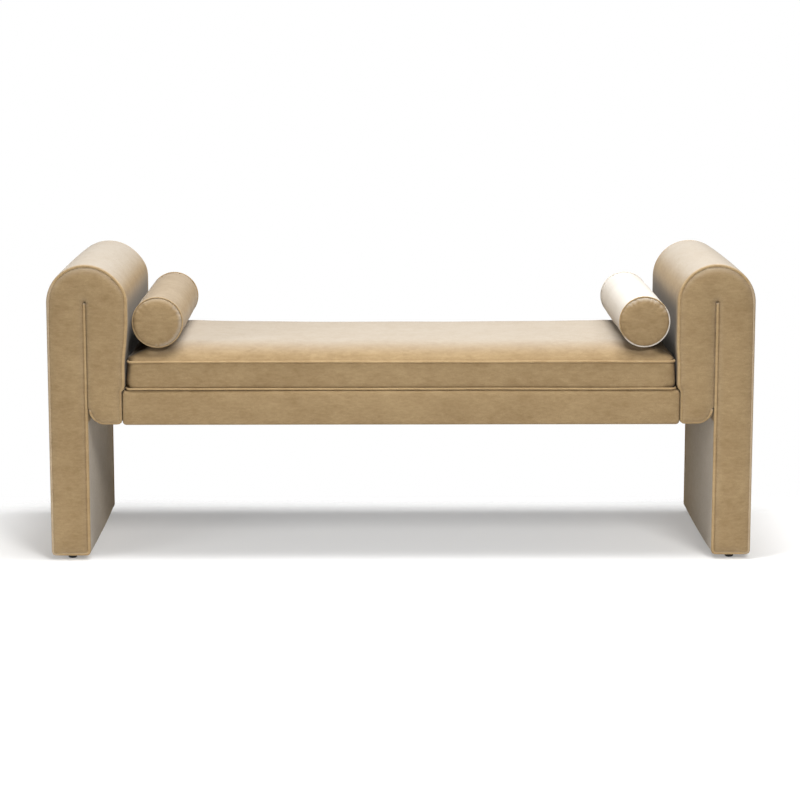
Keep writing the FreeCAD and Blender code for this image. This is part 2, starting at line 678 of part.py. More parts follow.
def stud(label, corners, x, y, z, outward):
    """A turned fastener whose own upright axis is laid along the bench, to its left or its right end."""
    body = revolve(label, "XZ_Plane", corners)
    body.Placement = FreeCAD.Placement(
        FreeCAD.Vector(0, 0, 0), FreeCAD.Rotation(UP, FreeCAD.Vector(outward, 0, 0))
    )
    place(body, f"{outward} * {x}", y, z)
    return body


def seat_bolts():
    """Bolts from inside the seat's ends into nuts on the far side of the arms' mounting rails."""
    seat_face = f"({RAIL_X} - rail_thickness)"
    nut_face = f"(overall_width / 2 - arm_width + {RIB_OUT} + mount_rail_thickness)"
    tip = f"({nut_face} - {seat_face} + tee_nut_flange_thickness + bolt_end_margin)"
    bolt = [
        line_to("0", "-(washer_thickness + bolt_head_height)"),
        line_to("0", tip),
        line_to("bolt_diameter / 2", tip),
        line_to("bolt_diameter / 2", "-washer_thickness"),
        line_to("bolt_head_diameter / 2", "-washer_thickness"),
        line_to("bolt_head_diameter / 2", "-(washer_thickness + bolt_head_height)"),
    ]
    washer = rectangle("(bolt_diameter / 2 + bolt_clearance)", "-washer_thickness", "washer_diameter / 2", "0")
    bore = "(bolt_diameter / 2 + thread_gap)"
    nut = [
        line_to(bore, "-tee_nut_barrel_length"),
        line_to(bore, "tee_nut_flange_thickness"),
        line_to("tee_nut_flange_diameter / 2", "tee_nut_flange_thickness"),
        line_to("tee_nut_flange_diameter / 2", "0"),
        line_to("tee_nut_barrel_diameter / 2", "0"),
        line_to("tee_nut_barrel_diameter / 2", "-tee_nut_barrel_length"),
    ]
    bolts, washers, nuts = [], [], []
    for outward in (-1, 1):
        for end in (FRONT, BACK):
            y = f"{end} * bolt_spread / 2"
            bolts.append(stud("bolt", bolt, seat_face, y, BOLT_Z, outward))
            washers.append(stud("washer", washer, seat_face, y, BOLT_Z, outward))
            nuts.append(stud("nut", nut, nut_face, y, BOLT_Z, outward))
    return [group("seat_bolts", bolts), group("seat_bolt_washers", washers), group("seat_tee_nuts", nuts)]


def leg_glides():
    """A round glide on a nail, near each end of each leg."""
    radius, hole = "(glide_diameter / 2)", "(nail_diameter / 2 + nail_gap)"
    glide = [
        line_to("0", "0"),
        line_to("0", "glide_floor"),
        line_to(hole, "glide_floor"),
        line_to(hole, "leg_lift"),
        line_to(radius, "leg_lift"),
        line_to(radius, "glide_chamfer"),
        line_to(f"({radius} - glide_chamfer)", "0"),
    ]
    top = f"({ARM_FOOT} + nail_reach)"
    nail = [
        line_to("0", "glide_floor"),
        line_to("0", top),
        line_to("nail_diameter / 2", f"({top} - nail_tip)"),
        line_to("nail_diameter / 2", "glide_floor"),
    ]
    glides, nails = [], []
    for turned in (False, True):
        for end in (FRONT, BACK):
            for label, corners, found in (("glide", glide, glides), ("nail", nail, nails)):
                body = revolve(label, "XZ_Plane", corners)
                place(body, arm_x(f"{LEG} / 2"), f"{end} * (overall_depth / 2 - glide_setback)",
                      turned=turned)
                found.append(body)
    return [group("leg_glides", glides), group("leg_glide_nails", nails)]


# The cushion

def loft(body, kind, sections):
    """Adds or takes away a skin through level outlines, each given as a height and an outline."""
    sketches = []
    for height, outline in sections:
        sketch = new_sketch(body, "XY_Plane", height)
        draw(sketch, outline)
        sketches.append(sketch)
    document.recompute()
    feature = body.newObject(f"PartDesign::{kind}Loft", f"{body.Label}_loft")
    feature.Profile = sketches[0]
    feature.Sections = sketches[1:]
    feature.Ruled = True
    document.recompute()
    return feature


def cushion_level(inset):
    """The cushion's plan, taken in all round."""
    return rounded_rectangle(f"({CUSHION_X} - {inset})", f"({CUSHION_Y} - {inset})", "cushion_corner_radius")


def crown_levels(inset, bottom, drop):
    """The crown from its seam up: a quarter-round shoulder, then a slight dome to a flat middle."""
    rise = f"({CUSHION_TOP} - {drop} - {bottom})"
    levels = []
    for step in range(CROWN_STEPS + 1):
        angle = math.pi / 2 * step / CROWN_STEPS
        taken_in = f"(cushion_draw_in + {inset} + cushion_shoulder * {1 - math.cos(angle):.6f})"
        levels.append((f"({bottom} + {rise} * {math.sin(angle):.6f})", cushion_level(taken_in)))
    middle = f"(cushion_shoulder + {DOME_RUN})"
    levels.append((f"({CUSHION_TOP} + cushion_dome - {drop})", cushion_level(middle)))
    return levels


def cushion():
    """Foam core, three velvet panels, two piped seams and the zip."""
    pieces = []
    core_inset = f"({SEAM_DEPTH})"
    core = new_body("cushion_core")
    floor = f"({CUSHION_BOTTOM} + {LAYER})"
    loft(core, "Additive",
         [(floor, cushion_level(core_inset))] + crown_levels(core_inset, UPPER_SEAM, LAYER))
    pieces.append(core)

    top = new_body("cushion_top_panel")
    rim = f"({UPPER_SEAM} + {SEAM_ROOM})"
    loft(top, "Additive", crown_levels("0", rim, "0"))
    loft(top, "Subtractive", crown_levels("cover_thickness", rim, "cover_thickness"))
    pieces.append(top)

    boxing = new_body("cushion_boxing")
    low, high = f"({LOWER_SEAM} + {SEAM_ROOM})", f"({UPPER_SEAM} - {SEAM_ROOM})"
    loft(boxing, "Additive", [(low, cushion_level("0")), (high, cushion_level("cushion_draw_in"))])
    loft(boxing, "Subtractive", [
        (low, cushion_level("cover_thickness")),
        (high, cushion_level("(cushion_draw_in + cover_thickness)")),
    ])
    window = new_sketch(boxing, "XZ_Plane", f"-({CUSHION_Y} - overrun)")
    draw(window, rectangle(f"-{ZIP_X}", f"({ZIP_Z} - zip_width / 2)", ZIP_X, f"({ZIP_Z} + zip_width / 2)"))
    pocket(boxing, window, "2 * overrun")
    pieces.append(boxing)

    pieces.append(extrude("cushion_bottom_panel", "XY_Plane", [cushion_level(SEAM_DEPTH)],
                          CUSHION_BOTTOM, "cover_thickness"))

    seams = []
    for height, draw_in in ((LOWER_SEAM, "0"), (UPPER_SEAM, "cushion_draw_in")):
        body = new_body("cushion_seam")
        line = f"({draw_in} + cushion_piping_diameter / 2 - cushion_piping_proud)"
        path = new_sketch(body, "XY_Plane", height)
        run = cushion_level(line)
        draw(path, run)
        ring = new_sketch(body, "XZ_Plane")
        draw(ring, piping_section(f"-({CUSHION_X} - {line})", height, "cushion_piping_diameter"))
        document.recompute()
        pipe = body.newObject("PartDesign::AdditivePipe", "cushion_piping_pipe")
        pipe.Profile = ring
        pipe.Spine = (path, [f"Edge{index}" for index in range(1, len(run) + 1)])
        seams.append(body)
    pieces.append(group("cushion_piping", seams))
    return pieces


def cushion_zip():
    """The zip's tape in the back of the boxing, and its slider with a tab."""
    half = f"({ZIP_X} - layer_gap)"
    low_z, high_z = f"({ZIP_Z} - zip_width / 2 + layer_gap)", f"({ZIP_Z} + zip_width / 2 - layer_gap)"
    tape = box("cushion_zip_tape", (f"-{half}", f"({ZIP_Y} - zip_thickness)", low_z), (half, ZIP_Y, high_z))

    slider = new_body("cushion_zip_slider")
    middle = f"(slider_end_margin - {ZIP_X})"
    back = f"({ZIP_Y} + layer_gap + slider_thickness)"
    shell = new_sketch(slider, "XZ_Plane", f"-{back}")
    draw(shell, rectangle(f"({middle} - slider_length / 2)", f"({ZIP_Z} - slider_width / 2)",
                          f"({middle} + slider_length / 2)", f"({ZIP_Z} + slider_width / 2)"))
    pad(slider, shell, "slider_thickness")
    tab = new_sketch(slider, "XZ_Plane", f"-{back}")
    draw(tab, rectangle(f"({middle} - pull_width / 2)", f"({ZIP_Z} - pull_length)",
                        f"({middle} + pull_width / 2)", ZIP_Z))
    pad(slider, tab, "pull_thickness")
    return [tape, slider]


# The bolsters

def barrel(radius, half, inner):
    """Half a section of the bolster's cover: a shallow arc outside, thinner at the ends, and straight inside."""
    bow = f"(({half} * {half} + bolster_draw_in * bolster_draw_in) / (2 * bolster_draw_in))"
    end = f"({radius} - bolster_draw_in)"
    return [
        line_to(end, f"-{half}"),
        arc_to(end, half, f"({radius} - {bow})", "0", left=True),
        line_to(inner, half),
        line_to(inner, f"-{half}"),
    ]


def crowned_panel(rim, inside):
    """Half a section of the crowned end panel: two slopes outside, one slope inside."""
    return [
        line_to(rim, inside),
        line_to(rim, BOLSTER_SEAM),
        line_to(f"({END_RIM_SHARE} * {rim})", f"({BOLSTER_SEAM} + {END_RISE_SHARE} * bolster_end_crown)"),
        line_to("0", f"({BOLSTER_SEAM} + bolster_end_crown)"),
        line_to("0", f"({inside} + bolster_end_crown)"),
    ]


def bolster(side, turned):
    """Core, cover, two end panels and two piped seams, turned about the bolster's own axis."""
    name = f"bolster_{side}"
    radius = "(bolster_diameter / 2)"
    seam_room = "(bolster_piping_diameter / 2 + layer_gap)"
    seam_ring = f"({BOLSTER_END} - bolster_piping_diameter / 2 + bolster_piping_proud)"
    rim = f"({seam_ring} - {seam_room})"

    core_rim = f"({BOLSTER_SEAM} - {LAYER})"
    core_tip = f"({core_rim} + bolster_end_crown)"
    core = revolve(f"{name}_core", "XY_Plane", [
        line_to("0", f"-{core_tip}"), line_to(rim, f"-{core_rim}"), line_to(rim, core_rim), line_to("0", core_tip),
    ])

    half = f"({BOLSTER_SEAM} - {seam_room})"
    cover = revolve(f"{name}_cover", "XY_Plane", barrel(radius, half, f"({BOLSTER_END} - cover_thickness)"))

    panels, seams = [], []
    for end in (FRONT, BACK):
        panel = revolve(f"{name}_panel", "XY_Plane", crowned_panel(rim, f"({BOLSTER_SEAM} - cover_thickness)"))
        if end == FRONT:
            panel.Placement = HALF_TURN
        panels.append(panel)
        ring = piping_section(seam_ring, f"({end} * {BOLSTER_SEAM})", "bolster_piping_diameter")
        seams.append(revolve(f"{name}_seam", "XY_Plane", ring))
    sign = "1" if turned else "-1"
    for piece in [core, cover] + panels + seams:
        piece.setExpression("Placement.Base.x", bound(f"{sign} * {BOLSTER_X}"))
        piece.setExpression("Placement.Base.z", bound(BOLSTER_Z))
    return [core, cover, group(f"{name}_end_panels", panels), group(f"{name}_piping", seams)]


# The whole bench

def bench():
    pieces = []
    for side, turned in (("left", False), ("right", True)):
        pieces += arm_frame(f"arm_{side}", turned)
        pieces += arm_upholstery(f"arm_{side}", turned)
    pieces += seat_frame() + seat_upholstery()
    pieces += seat_bolts() + leg_glides()
    pieces += cushion() + cushion_zip()
    for side, turned in (("left", False), ("right", True)):
        pieces += bolster(side, turned)
    return pieces


def write(pieces):
    """Stops on anything that failed, then writes each piece to its own file."""
    document.recompute()
    failed = [item.Name for item in document.Objects if {"Invalid", "Error"} & set(item.State)]
    failed += [piece.Label for piece in pieces if piece.Shape.isNull() or not piece.Shape.isValid()]
    if failed:
        raise ValueError(f"these didn't come out: {failed}")
    os.makedirs("parts", exist_ok=True)
    for piece in pieces:
        piece.Shape.exportStep(f"parts/{piece.Label}.step")
    print(f"{len(pieces)} pieces, {sum(len(piece.Shape.Solids) for piece in pieces)} solids")


write(bench())
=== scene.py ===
import math

import bmesh
import bpy
import numpy as np
from bpy.props import FloatProperty, FloatVectorProperty, PointerProperty
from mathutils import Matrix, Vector, geometry, noise


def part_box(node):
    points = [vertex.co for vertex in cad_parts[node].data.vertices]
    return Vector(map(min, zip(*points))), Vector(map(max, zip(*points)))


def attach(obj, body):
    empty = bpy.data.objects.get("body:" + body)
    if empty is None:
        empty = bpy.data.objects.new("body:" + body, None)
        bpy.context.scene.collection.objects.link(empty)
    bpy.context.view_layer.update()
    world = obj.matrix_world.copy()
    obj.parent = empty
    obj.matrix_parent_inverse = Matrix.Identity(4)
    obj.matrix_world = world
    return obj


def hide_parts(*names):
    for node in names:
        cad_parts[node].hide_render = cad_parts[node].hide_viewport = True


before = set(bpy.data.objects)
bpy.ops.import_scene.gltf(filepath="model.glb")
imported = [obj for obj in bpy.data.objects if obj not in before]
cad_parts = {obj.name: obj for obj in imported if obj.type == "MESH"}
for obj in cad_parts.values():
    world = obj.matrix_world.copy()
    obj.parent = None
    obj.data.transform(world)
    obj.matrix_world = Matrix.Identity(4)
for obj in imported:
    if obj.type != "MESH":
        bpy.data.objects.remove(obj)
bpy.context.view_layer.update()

bl_info = {
    "name": "Rolled-arm bench",
    "version": (1, 0, 0),
    "blender": (4, 5, 0),
    "location": "3D View > Sidebar > Bench",
    "description": "Dresses the bench's frame in velvet, with its piping, cushion, bolsters and studio",
    "category": "Object",
}

SIDES = {"left": 1, "right": -1}
ENDS = {"front": -1, "back": 1}
ARM_LOW, ARM_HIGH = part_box("arm_left_boxing")
SEAT_LOW, SEAT_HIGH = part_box("seat_cover")
CUSHION_LOW, CUSHION_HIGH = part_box("cushion_piping")
ARM_WIDTH = ARM_HIGH[0] - ARM_LOW[0]
LEG_EDGE = ARM_LOW[0] + ARM_WIDTH / 2
ARM_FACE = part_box("arm_left_piping")[1][1]
ARCH_Z = ARM_HIGH[2] - ARM_WIDTH / 2


# What a user may change

def length_field(name, description, default):
    return FloatProperty(name=name, description=description, default=default, unit="LENGTH")


def colour_field(name, description, *default):
    return FloatVectorProperty(name=name, description=description, default=default, subtype="COLOR")


class BenchSizes(bpy.types.PropertyGroup):
    slit: length_field("Slit", "Open slit between an arm's leg and its flap", 0.002)
    arm_piping: length_field("Arm piping", "Thickness of the piped seam round the arms", 0.0072)
    cushion_piping: length_field("Cushion piping", "Thickness of the cushion's piped seams", 0.0048)
    bolster_piping: length_field("Bolster piping", "Thickness of the bolsters' piped seams", 0.0029)
    face_crown: length_field("Face crown", "How far an arm's padded face swells from its seam", 0.0085)
    band_crown: length_field("Band crown", "How far the band round an arm swells at its middle", 0.0018)
    rail_crown: length_field("Rail crown", "How far the seat's padded front swells", 0.0026)
    rail_bite: length_field("Rail bite", "How far the seat's ends press into the padded flaps", 0.0095)
    cloth: length_field("Cloth", "Thickness of the velvet with its backing", 0.0015)


class BenchColours(bpy.types.PropertyGroup):
    velvet: colour_field("Velvet", "Pile seen straight on", 0.232, 0.155, 0.077)
    velvet_light: colour_field("Brushed velvet", "Pile brushed towards the light", 0.385, 0.28, 0.153)
    velvet_sheen: colour_field("Sheen", "Light caught by the tips of the pile", 1.0, 0.95, 0.88)
    # Painted sheen: a pale tone for where light catches the pile, on tops, on the arms' inner legs and on the
    # right bolster
    velvet_painted_sheen: colour_field(
        "Raised velvet", "Pile that stands up pale, on tops and on one bolster", 0.455, 0.41, 0.352)
    timber: colour_field("Timber", "Rails, blocks and battens", 0.55, 0.37, 0.20)
    plywood: colour_field("Plywood", "Ribs and bent skins", 0.60, 0.43, 0.25)
    black_cloth: colour_field("Dust cloth", "Cloth under the seat", 0.012, 0.012, 0.013)
    webbing: colour_field("Webbing", "Elastic straps", 0.035, 0.03, 0.027)
    plastic: colour_field("Glides", "Glides under the legs", 0.012, 0.012, 0.012)
    steel: colour_field("Steel", "Bolts, washers, nuts, nails and staples", 0.55, 0.55, 0.57)
    brass: colour_field("Zip metal", "The zip's teeth and slider", 0.48, 0.35, 0.15)
    zip_tape: colour_field("Zip tape", "The zip's woven tape", 0.22, 0.14, 0.065)


def sizes():
    return bpy.context.scene.bench_sizes


def colours():
    return bpy.context.scene.bench_colours


# Nodes

def fill(tree, socket, value):
    """Sets a socket to a value, or joins it to another node's output."""
    if isinstance(value, bpy.types.NodeSocket):
        tree.links.new(value, socket)
    else:
        socket.default_value = (*value, 1.0) if socket.type == "RGBA" else value


def fill_named(tree, node, **inputs):
    for name, value in inputs.items():
        fill(tree, node.inputs[name.replace("_", " ")], value)


def add_node(tree, kind, settings=None, out=0, **inputs):
    """One output, by number or name, of a new node whose inputs are values or other nodes' outputs."""
    made = tree.nodes.new(kind)
    for name, value in (settings or {}).items():
        setattr(made, name, value)
    fill_named(tree, made, **inputs)
    return made.outputs[out]


# Materials

COLOUR_A, COLOUR_B, COLOUR_OUT = 6, 7, 2
# Painted sheen: the cords' lighter copy of the velvet
PIPING_SHEEN_TONES = (1.34, 1.24)
# Painted sheen: the right bolster's pale copy of the velvet
PAINTED_SHEEN_TONES = (1.1, 1.3)
PAINTED_SHEEN_PALE = (0.68, 0.655, 0.61)
# Marks along a metre of velvet, and each mark's share in how the pile lies
PATCHES, MOTTLES, STROKES, PILE = 5.0, 42.0, 150.0, 900.0
PATCH_SHARE, MOTTLE_SHARE, STROKE_SHARE = 0.24, 0.40, 0.36
# How dark the painted shade in creases is, and how dark the pile's roots show between its tips
PAINTED_SHADE_SHARE, PILE_ROOT_SHARE = 0.16, 0.7


class Paint:
    """A material's nodes, made and joined by short calls."""

    def __init__(self, name):
        self.material = bpy.data.materials.new(name)
        self.material.use_nodes = True
        self.tree = self.material.node_tree
        self.place = self.node("ShaderNodeTexCoord", out="Object")

    def node(self, kind, settings=None, out=0, **inputs):
        return add_node(self.tree, kind, settings, out, **inputs)

    def stretched(self, x, y, z):
        """The object's own coordinates, stretched along each axis."""
        return self.node("ShaderNodeMapping", Vector=self.place, Scale=(x, y, z))

    def along(self, axis):
        """One of the object's own coordinates."""
        return self.node("ShaderNodeSeparateXYZ", out=axis, Vector=self.place)

    def noise(self, scale, detail=3.0, rough=0.55, place=None):
        return self.node("ShaderNodeTexNoise", out="Fac", Vector=place or self.place, Scale=scale,
                         Detail=detail, Roughness=rough)

    def spread(self, source, low, high, to_low=0.0, to_high=1.0):
        """A value's range from low to high, spread to a new range."""
        return self.node("ShaderNodeMapRange", out="Result", Value=source, From_Min=low, From_Max=high,
                         To_Min=to_low, To_Max=to_high)

    def maths(self, operation, first, second=0.0):
        made = self.node("ShaderNodeMath", {"operation": operation})
        fill(self.tree, made.node.inputs[0], first)
        fill(self.tree, made.node.inputs[1], second)
        return made

    def mix(self, factor, first, second):
        made = self.node("ShaderNodeMix", {"data_type": "RGBA"}, COLOUR_OUT, Factor=factor)
        fill(self.tree, made.node.inputs[COLOUR_A], first)
        fill(self.tree, made.node.inputs[COLOUR_B], second)
        return made

    def bump(self, height, strength, distance, **under):
        return self.node("ShaderNodeBump", Height=height, Strength=strength, Distance=distance, **under)

    def mark(self, name):
        """A share that is written on the mesh, point by point."""
        return self.node("ShaderNodeAttribute", {"attribute_name": name}, "Fac")

    def finish(self, **inputs):
        """Sets or joins the shader's own inputs."""
        fill_named(self.tree, self.tree.nodes["Principled BSDF"], **inputs)
        return self.material


def shade(colour, times):
    return tuple(min(1.0, part * times) for part in colour)


def velvet(name, ground=None, brushed=None, pale=None):
    """Short pile brushed in soft patches and crossing strokes, with a sheen along what turns away."""
    paint, tint = Paint(name), colours()
    ground, brushed = tuple(ground or tint.velvet), tuple(brushed or tint.velvet_light)
    pale = tuple(pale or tint.velvet_painted_sheen)
    patches = paint.spread(paint.noise(PATCHES, 3.0, 0.6), 0.34, 0.66)
    mottle = paint.spread(paint.noise(MOTTLES, 4.0, 0.66, paint.stretched(0.7, 0.7, 1.2)), 0.3, 0.7)
    strokes = paint.spread(paint.noise(STROKES, 2.0, 0.6, paint.stretched(0.5, 0.5, 1.3)), 0.25, 0.75)
    pile = paint.noise(PILE, 2.0, 0.6)
    nap = paint.maths("ADD", paint.maths("MULTIPLY", patches, PATCH_SHARE),
                      paint.maths("MULTIPLY", mottle, MOTTLE_SHARE))
    nap = paint.maths("ADD", nap, paint.maths("MULTIPLY", strokes, STROKE_SHARE))
    # Painted sheen: the colour turns pale where the mesh's painted sheen mark is set
    raised = paint.maths("MULTIPLY", paint.mark("painted_sheen_mark"), paint.spread(nap, 0.2, 0.8, 0.8, 1.0))
    colour = paint.mix(raised, paint.mix(nap, ground, brushed), pale)
    # Painted shade: the colour turns dark in creases, where the mesh's painted shade mark is set
    colour = paint.mix(paint.mark("painted_shade_mark"), colour, shade(ground, PAINTED_SHADE_SHARE))
    colour = paint.mix(paint.spread(pile, 0.34, 0.66, 0.0, 0.3), colour, shade(ground, PILE_ROOT_SHARE))
    soft = paint.bump(nap, 0.18, 0.0014)
    return paint.finish(
        Base_Color=colour, Normal=paint.bump(pile, 0.12, 0.0004, Normal=soft), Roughness=0.9,
        Specular_IOR_Level=0.08, Sheen_Weight=0.16, Sheen_Roughness=0.4, Sheen_Tint=tuple(tint.velvet_sheen))


def piping_velvet(name, pale=None):
    """Velvet stretched over a cord, in lighter tones: painted sheen along the round cord."""
    ground, brushed = PIPING_SHEEN_TONES
    return velvet(name, shade(colours().velvet, ground), shade(colours().velvet_light, brushed), pale)


def painted_sheen_velvet(name):
    """A pale copy of the velvet all over: painted sheen where light catches the pile."""
    ground, brushed = (shade(colours().velvet_painted_sheen, tone) for tone in PAINTED_SHEEN_TONES)
    return velvet(name, ground, brushed, PAINTED_SHEEN_PALE)


def woven(name, colour, pitch):
    """Flat tape or cloth with crossing threads."""
    paint = Paint(name)
    turns = 2 * math.pi / pitch
    rows = paint.maths("SINE", paint.maths("MULTIPLY", paint.along("X"), turns))
    picks = paint.maths("SINE", paint.maths(
        "MULTIPLY", paint.maths("ADD", paint.along("Y"), paint.along("Z")), turns))
    weave = paint.maths("MULTIPLY", rows, picks)
    tone = paint.mix(paint.spread(weave, -1.0, 1.0), shade(colour, 0.65), shade(colour, 1.25))
    worn = paint.mix(paint.spread(paint.noise(14.0), 0.35, 0.7, 0.0, 0.5), tone, shade(colour, 1.45))
    return paint.finish(Base_Color=worn, Normal=paint.bump(weave, 0.5, 0.0003), Roughness=0.9,
                        Specular_IOR_Level=0.2)


def wood(name, colour, rings):
    """Sawn timber or plywood with drawn-out grain."""
    paint = Paint(name)
    grain = paint.noise(rings, 6.0, 0.62, paint.stretched(0.35, 1.0, 6.0))
    fibre = paint.noise(420.0, 2.0, 0.5, paint.stretched(0.08, 0.3, 1.0))
    tone = paint.mix(paint.spread(grain, 0.32, 0.7), shade(colour, 0.66), shade(colour, 1.18))
    flecked = paint.mix(paint.spread(fibre, 0.45, 0.75, 0.0, 0.5), tone, shade(colour, 0.5))
    return paint.finish(Base_Color=flecked, Normal=paint.bump(fibre, 0.3, 0.0004), Roughness=0.72,
                        Specular_IOR_Level=0.3)


def metal(name, colour, marks_per_metre):
    """Plated or brushed metal with fine marks."""
    paint = Paint(name)
    marks = paint.noise(marks_per_metre, 3.0, 0.6, paint.stretched(1.0, 1.0, 0.06))
    tone = paint.mix(paint.spread(marks, 0.3, 0.7), shade(colour, 0.82), shade(colour, 1.1))
    return paint.finish(Base_Color=tone, Normal=paint.bump(marks, 0.08, 0.0001), Metallic=1.0,
                        Roughness=paint.spread(marks, 0.3, 0.7, 0.26, 0.42))


def moulded(name, colour):
    """Moulded plastic with a fine grain and scuffs."""
    paint = Paint(name)
    grain = paint.noise(2200.0, 2.0)
    scuffs = paint.spread(paint.noise(60.0, 5.0, 0.7), 0.55, 0.75)
    tone = paint.mix(scuffs, colour, shade(colour, 3.0))
    return paint.finish(Base_Color=tone, Normal=paint.bump(grain, 0.15, 0.0001), Specular_IOR_Level=0.4,
                        Roughness=paint.spread(scuffs, 0.0, 1.0, 0.42, 0.62))


FINISHES = {
    "velvet": velvet,
    "piping": piping_velvet,
    "raised": painted_sheen_velvet,
    "raised_piping": lambda name: piping_velvet(name, PAINTED_SHEEN_PALE),
    "dust_cloth": lambda name: woven(name, colours().black_cloth, 0.0014),
    "webbing": lambda name: woven(name, colours().webbing, 0.003),
    "zip_tape": lambda name: woven(name, colours().zip_tape, 0.0012),
    "timber": lambda name: wood(name, colours().timber, 9.0),
    "plywood": lambda name: wood(name, colours().plywood, 5.0),
    "steel": lambda name: metal(name, colours().steel, 300.0),
    "brass": lambda name: metal(name, colours().brass, 900.0),
    "plastic": lambda name: moulded(name, colours().plastic),
}


def finish_named(word):
    """Each finish is made once and shared."""
    name = f"bench_{word}"
    return bpy.data.materials.get(name) or FINISHES[word](name)


# Meshes

MERGE_GAP = 1e-6


def add_mesh(name, points, faces, word, edges=()):
    """A new object at the origin, smooth, in the named finish."""
    mesh = bpy.data.meshes.new(name)
    mesh.from_pydata([tuple(point) for point in points], list(edges), [tuple(face) for face in faces])
    mesh.validate()
    piece = bpy.data.objects.new(name, mesh)
    bpy.context.scene.collection.objects.link(piece)
    if word:
        mesh.materials.append(finish_named(word))
    mesh.shade_smooth()
    return piece


def face_outwards(piece):
    """Merges doubles and turns every face of a closed mesh outwards."""
    shape = bmesh.new()
    shape.from_mesh(piece.data)
    bmesh.ops.remove_doubles(shape, verts=shape.verts, dist=MERGE_GAP)
    bmesh.ops.recalc_face_normals(shape, faces=shape.faces)
    shape.to_mesh(piece.data)
    shape.free()


def apply_modifiers(piece):
    """Makes the modifiers' result the piece's own mesh."""
    view = bpy.context.evaluated_depsgraph_get()
    plain = bpy.data.meshes.new_from_object(piece.evaluated_get(view), depsgraph=view)
    piece.modifiers.clear()
    piece.data = plain
    plain.shade_smooth()
    return piece


def modify(piece, kind, **settings):
    """Runs one modifier on a piece and keeps its result."""
    step = piece.modifiers.new(kind, kind)
    for name, value in settings.items():
        setattr(step, name, value)
    return apply_modifiers(piece)


def thicken(piece, thickness):
    """Gives an open cover its thickness, inwards."""
    return modify(piece, "SOLIDIFY", thickness=thickness, offset=-1)


def read_points(mesh):
    flat = np.empty(len(mesh.vertices) * 3)
    mesh.vertices.foreach_get("co", flat)
    return flat.reshape(-1, 3)


def write_points(mesh, points):
    mesh.vertices.foreach_set("co", np.ascontiguousarray(points, dtype=np.float32).ravel())
    mesh.update()


def tilts(piece):
    """The direction each point of a mesh faces."""
    flat = np.zeros(len(piece.data.vertices) * 3)
    piece.data.vertex_normals.foreach_get("vector", flat)
    return flat.reshape(-1, 3)


def paint_sheen_and_shade(piece, up, dark=None):
    """Marks where painted sheen turns the pile pale, and where painted shade turns it dark."""
    for name, share in (("painted_sheen_mark", up), ("painted_shade_mark", dark)):
        if share is not None:
            piece.data.attributes.new(name, "FLOAT", "POINT").data.foreach_set("value", share)


def dress(piece, body, slot, *nodes):
    """Ties a piece to its body and hides the solids that it stands for; the slot it is given is not used."""
    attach(piece, body)
    if nodes:
        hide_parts(*nodes)


# Numbers and runs of points

def ripple(points, scale=1.0, seed=0.0):
    """Smooth noise at each point, from -1 to 1."""
    shift = Vector((seed * 7.3, seed * 3.1, seed * 5.7))
    return np.array([noise.noise(Vector(point) * scale + shift) for point in points])


def ramp(values, start, width):
    """Nought up to the start, one from a width further on, smooth between."""
    share = np.clip((values - start) / width, 0, 1)
    return share * share * (3 - 2 * share)


def fade(values, end, width):
    """One until a width before the end, nought from the end on, smooth between."""
    return ramp(-values, -end, width)


def part_way(distance, width):
    """A distance's share of a width, from nought to one."""
    return np.clip(distance / width, 0, 1)


def near(distance, amount, reach):
    """An amount that dies away with distance."""
    return amount * np.exp(-distance / reach)


def gathers(distance, amount, reach, start):
    """An amount that sets in beside a seam and dies away further off."""
    return near(distance, amount, reach) * part_way(distance, start)


def xyz(*columns):
    """Points from their coordinates, where a single number serves all the points."""
    return np.column_stack(np.broadcast_arrays(*columns))


def run_lengths(points):
    """How far along its run each point lies."""
    return np.concatenate([[0], np.cumsum(np.linalg.norm(np.diff(points, axis=0), axis=1))])


def walk_again(closed, along, count):
    """A closed run walked again in even steps of what is measured along it."""
    marks = np.linspace(0, along[-1], count, endpoint=False)
    return np.column_stack([np.interp(marks, along, column) for column in closed.T])


def line(start, end, step):
    """Even points along a straight line, without its end."""
    count = max(1, round(math.dist(start, end) / step))
    start, end = np.array(start), np.array(end)
    return [tuple(start + (end - start) * index / count) for index in range(count)]


def arc(centre, radius, first, last, step, ends=0):
    """Even points along an arc between two angles in degrees, with or without its end."""
    count = max(4, round(abs(math.radians(last - first)) * radius / step))
    angles = [math.radians(first + (last - first) * index / count) for index in range(count + ends)]
    return [(centre[0] + radius * math.cos(angle), centre[1] + radius * math.sin(angle)) for angle in angles]


def rounded_loop(half_x, half_y, radius, step):
    """A rectangle about the origin with round corners, as evenly spread points in x and y."""
    corners = []
    for angle, x, y in ((0, 1, 1), (90, -1, 1), (180, -1, -1), (270, 1, -1)):
        centre = (x * (half_x - radius), y * (half_y - radius))
        corners += arc(centre, radius, angle, angle + 90, step, ends=1)
    closed = np.array([*corners, corners[0]])
    along = run_lengths(closed)
    return walk_again(closed, along, max(8, round(along[-1] / step)))


def crowded(low, high, close, far, count):
    """Places from low to high: set ones close to both ends, even ones from a distance on."""
    close = np.array(close)
    return np.concatenate([low + close, np.linspace(low + far, high - far, count), high - close[::-1]])


def nearest_gap(points, path):
    """How far each point is from a path of points."""
    batch = 4000
    gaps = np.empty(len(points))
    for first in range(0, len(points), batch):
        part = points[first:first + batch]
        gaps[first:first + batch] = np.sqrt(np.min(np.sum((part[:, None] - path[None]) ** 2, axis=2), axis=1))
    return gaps


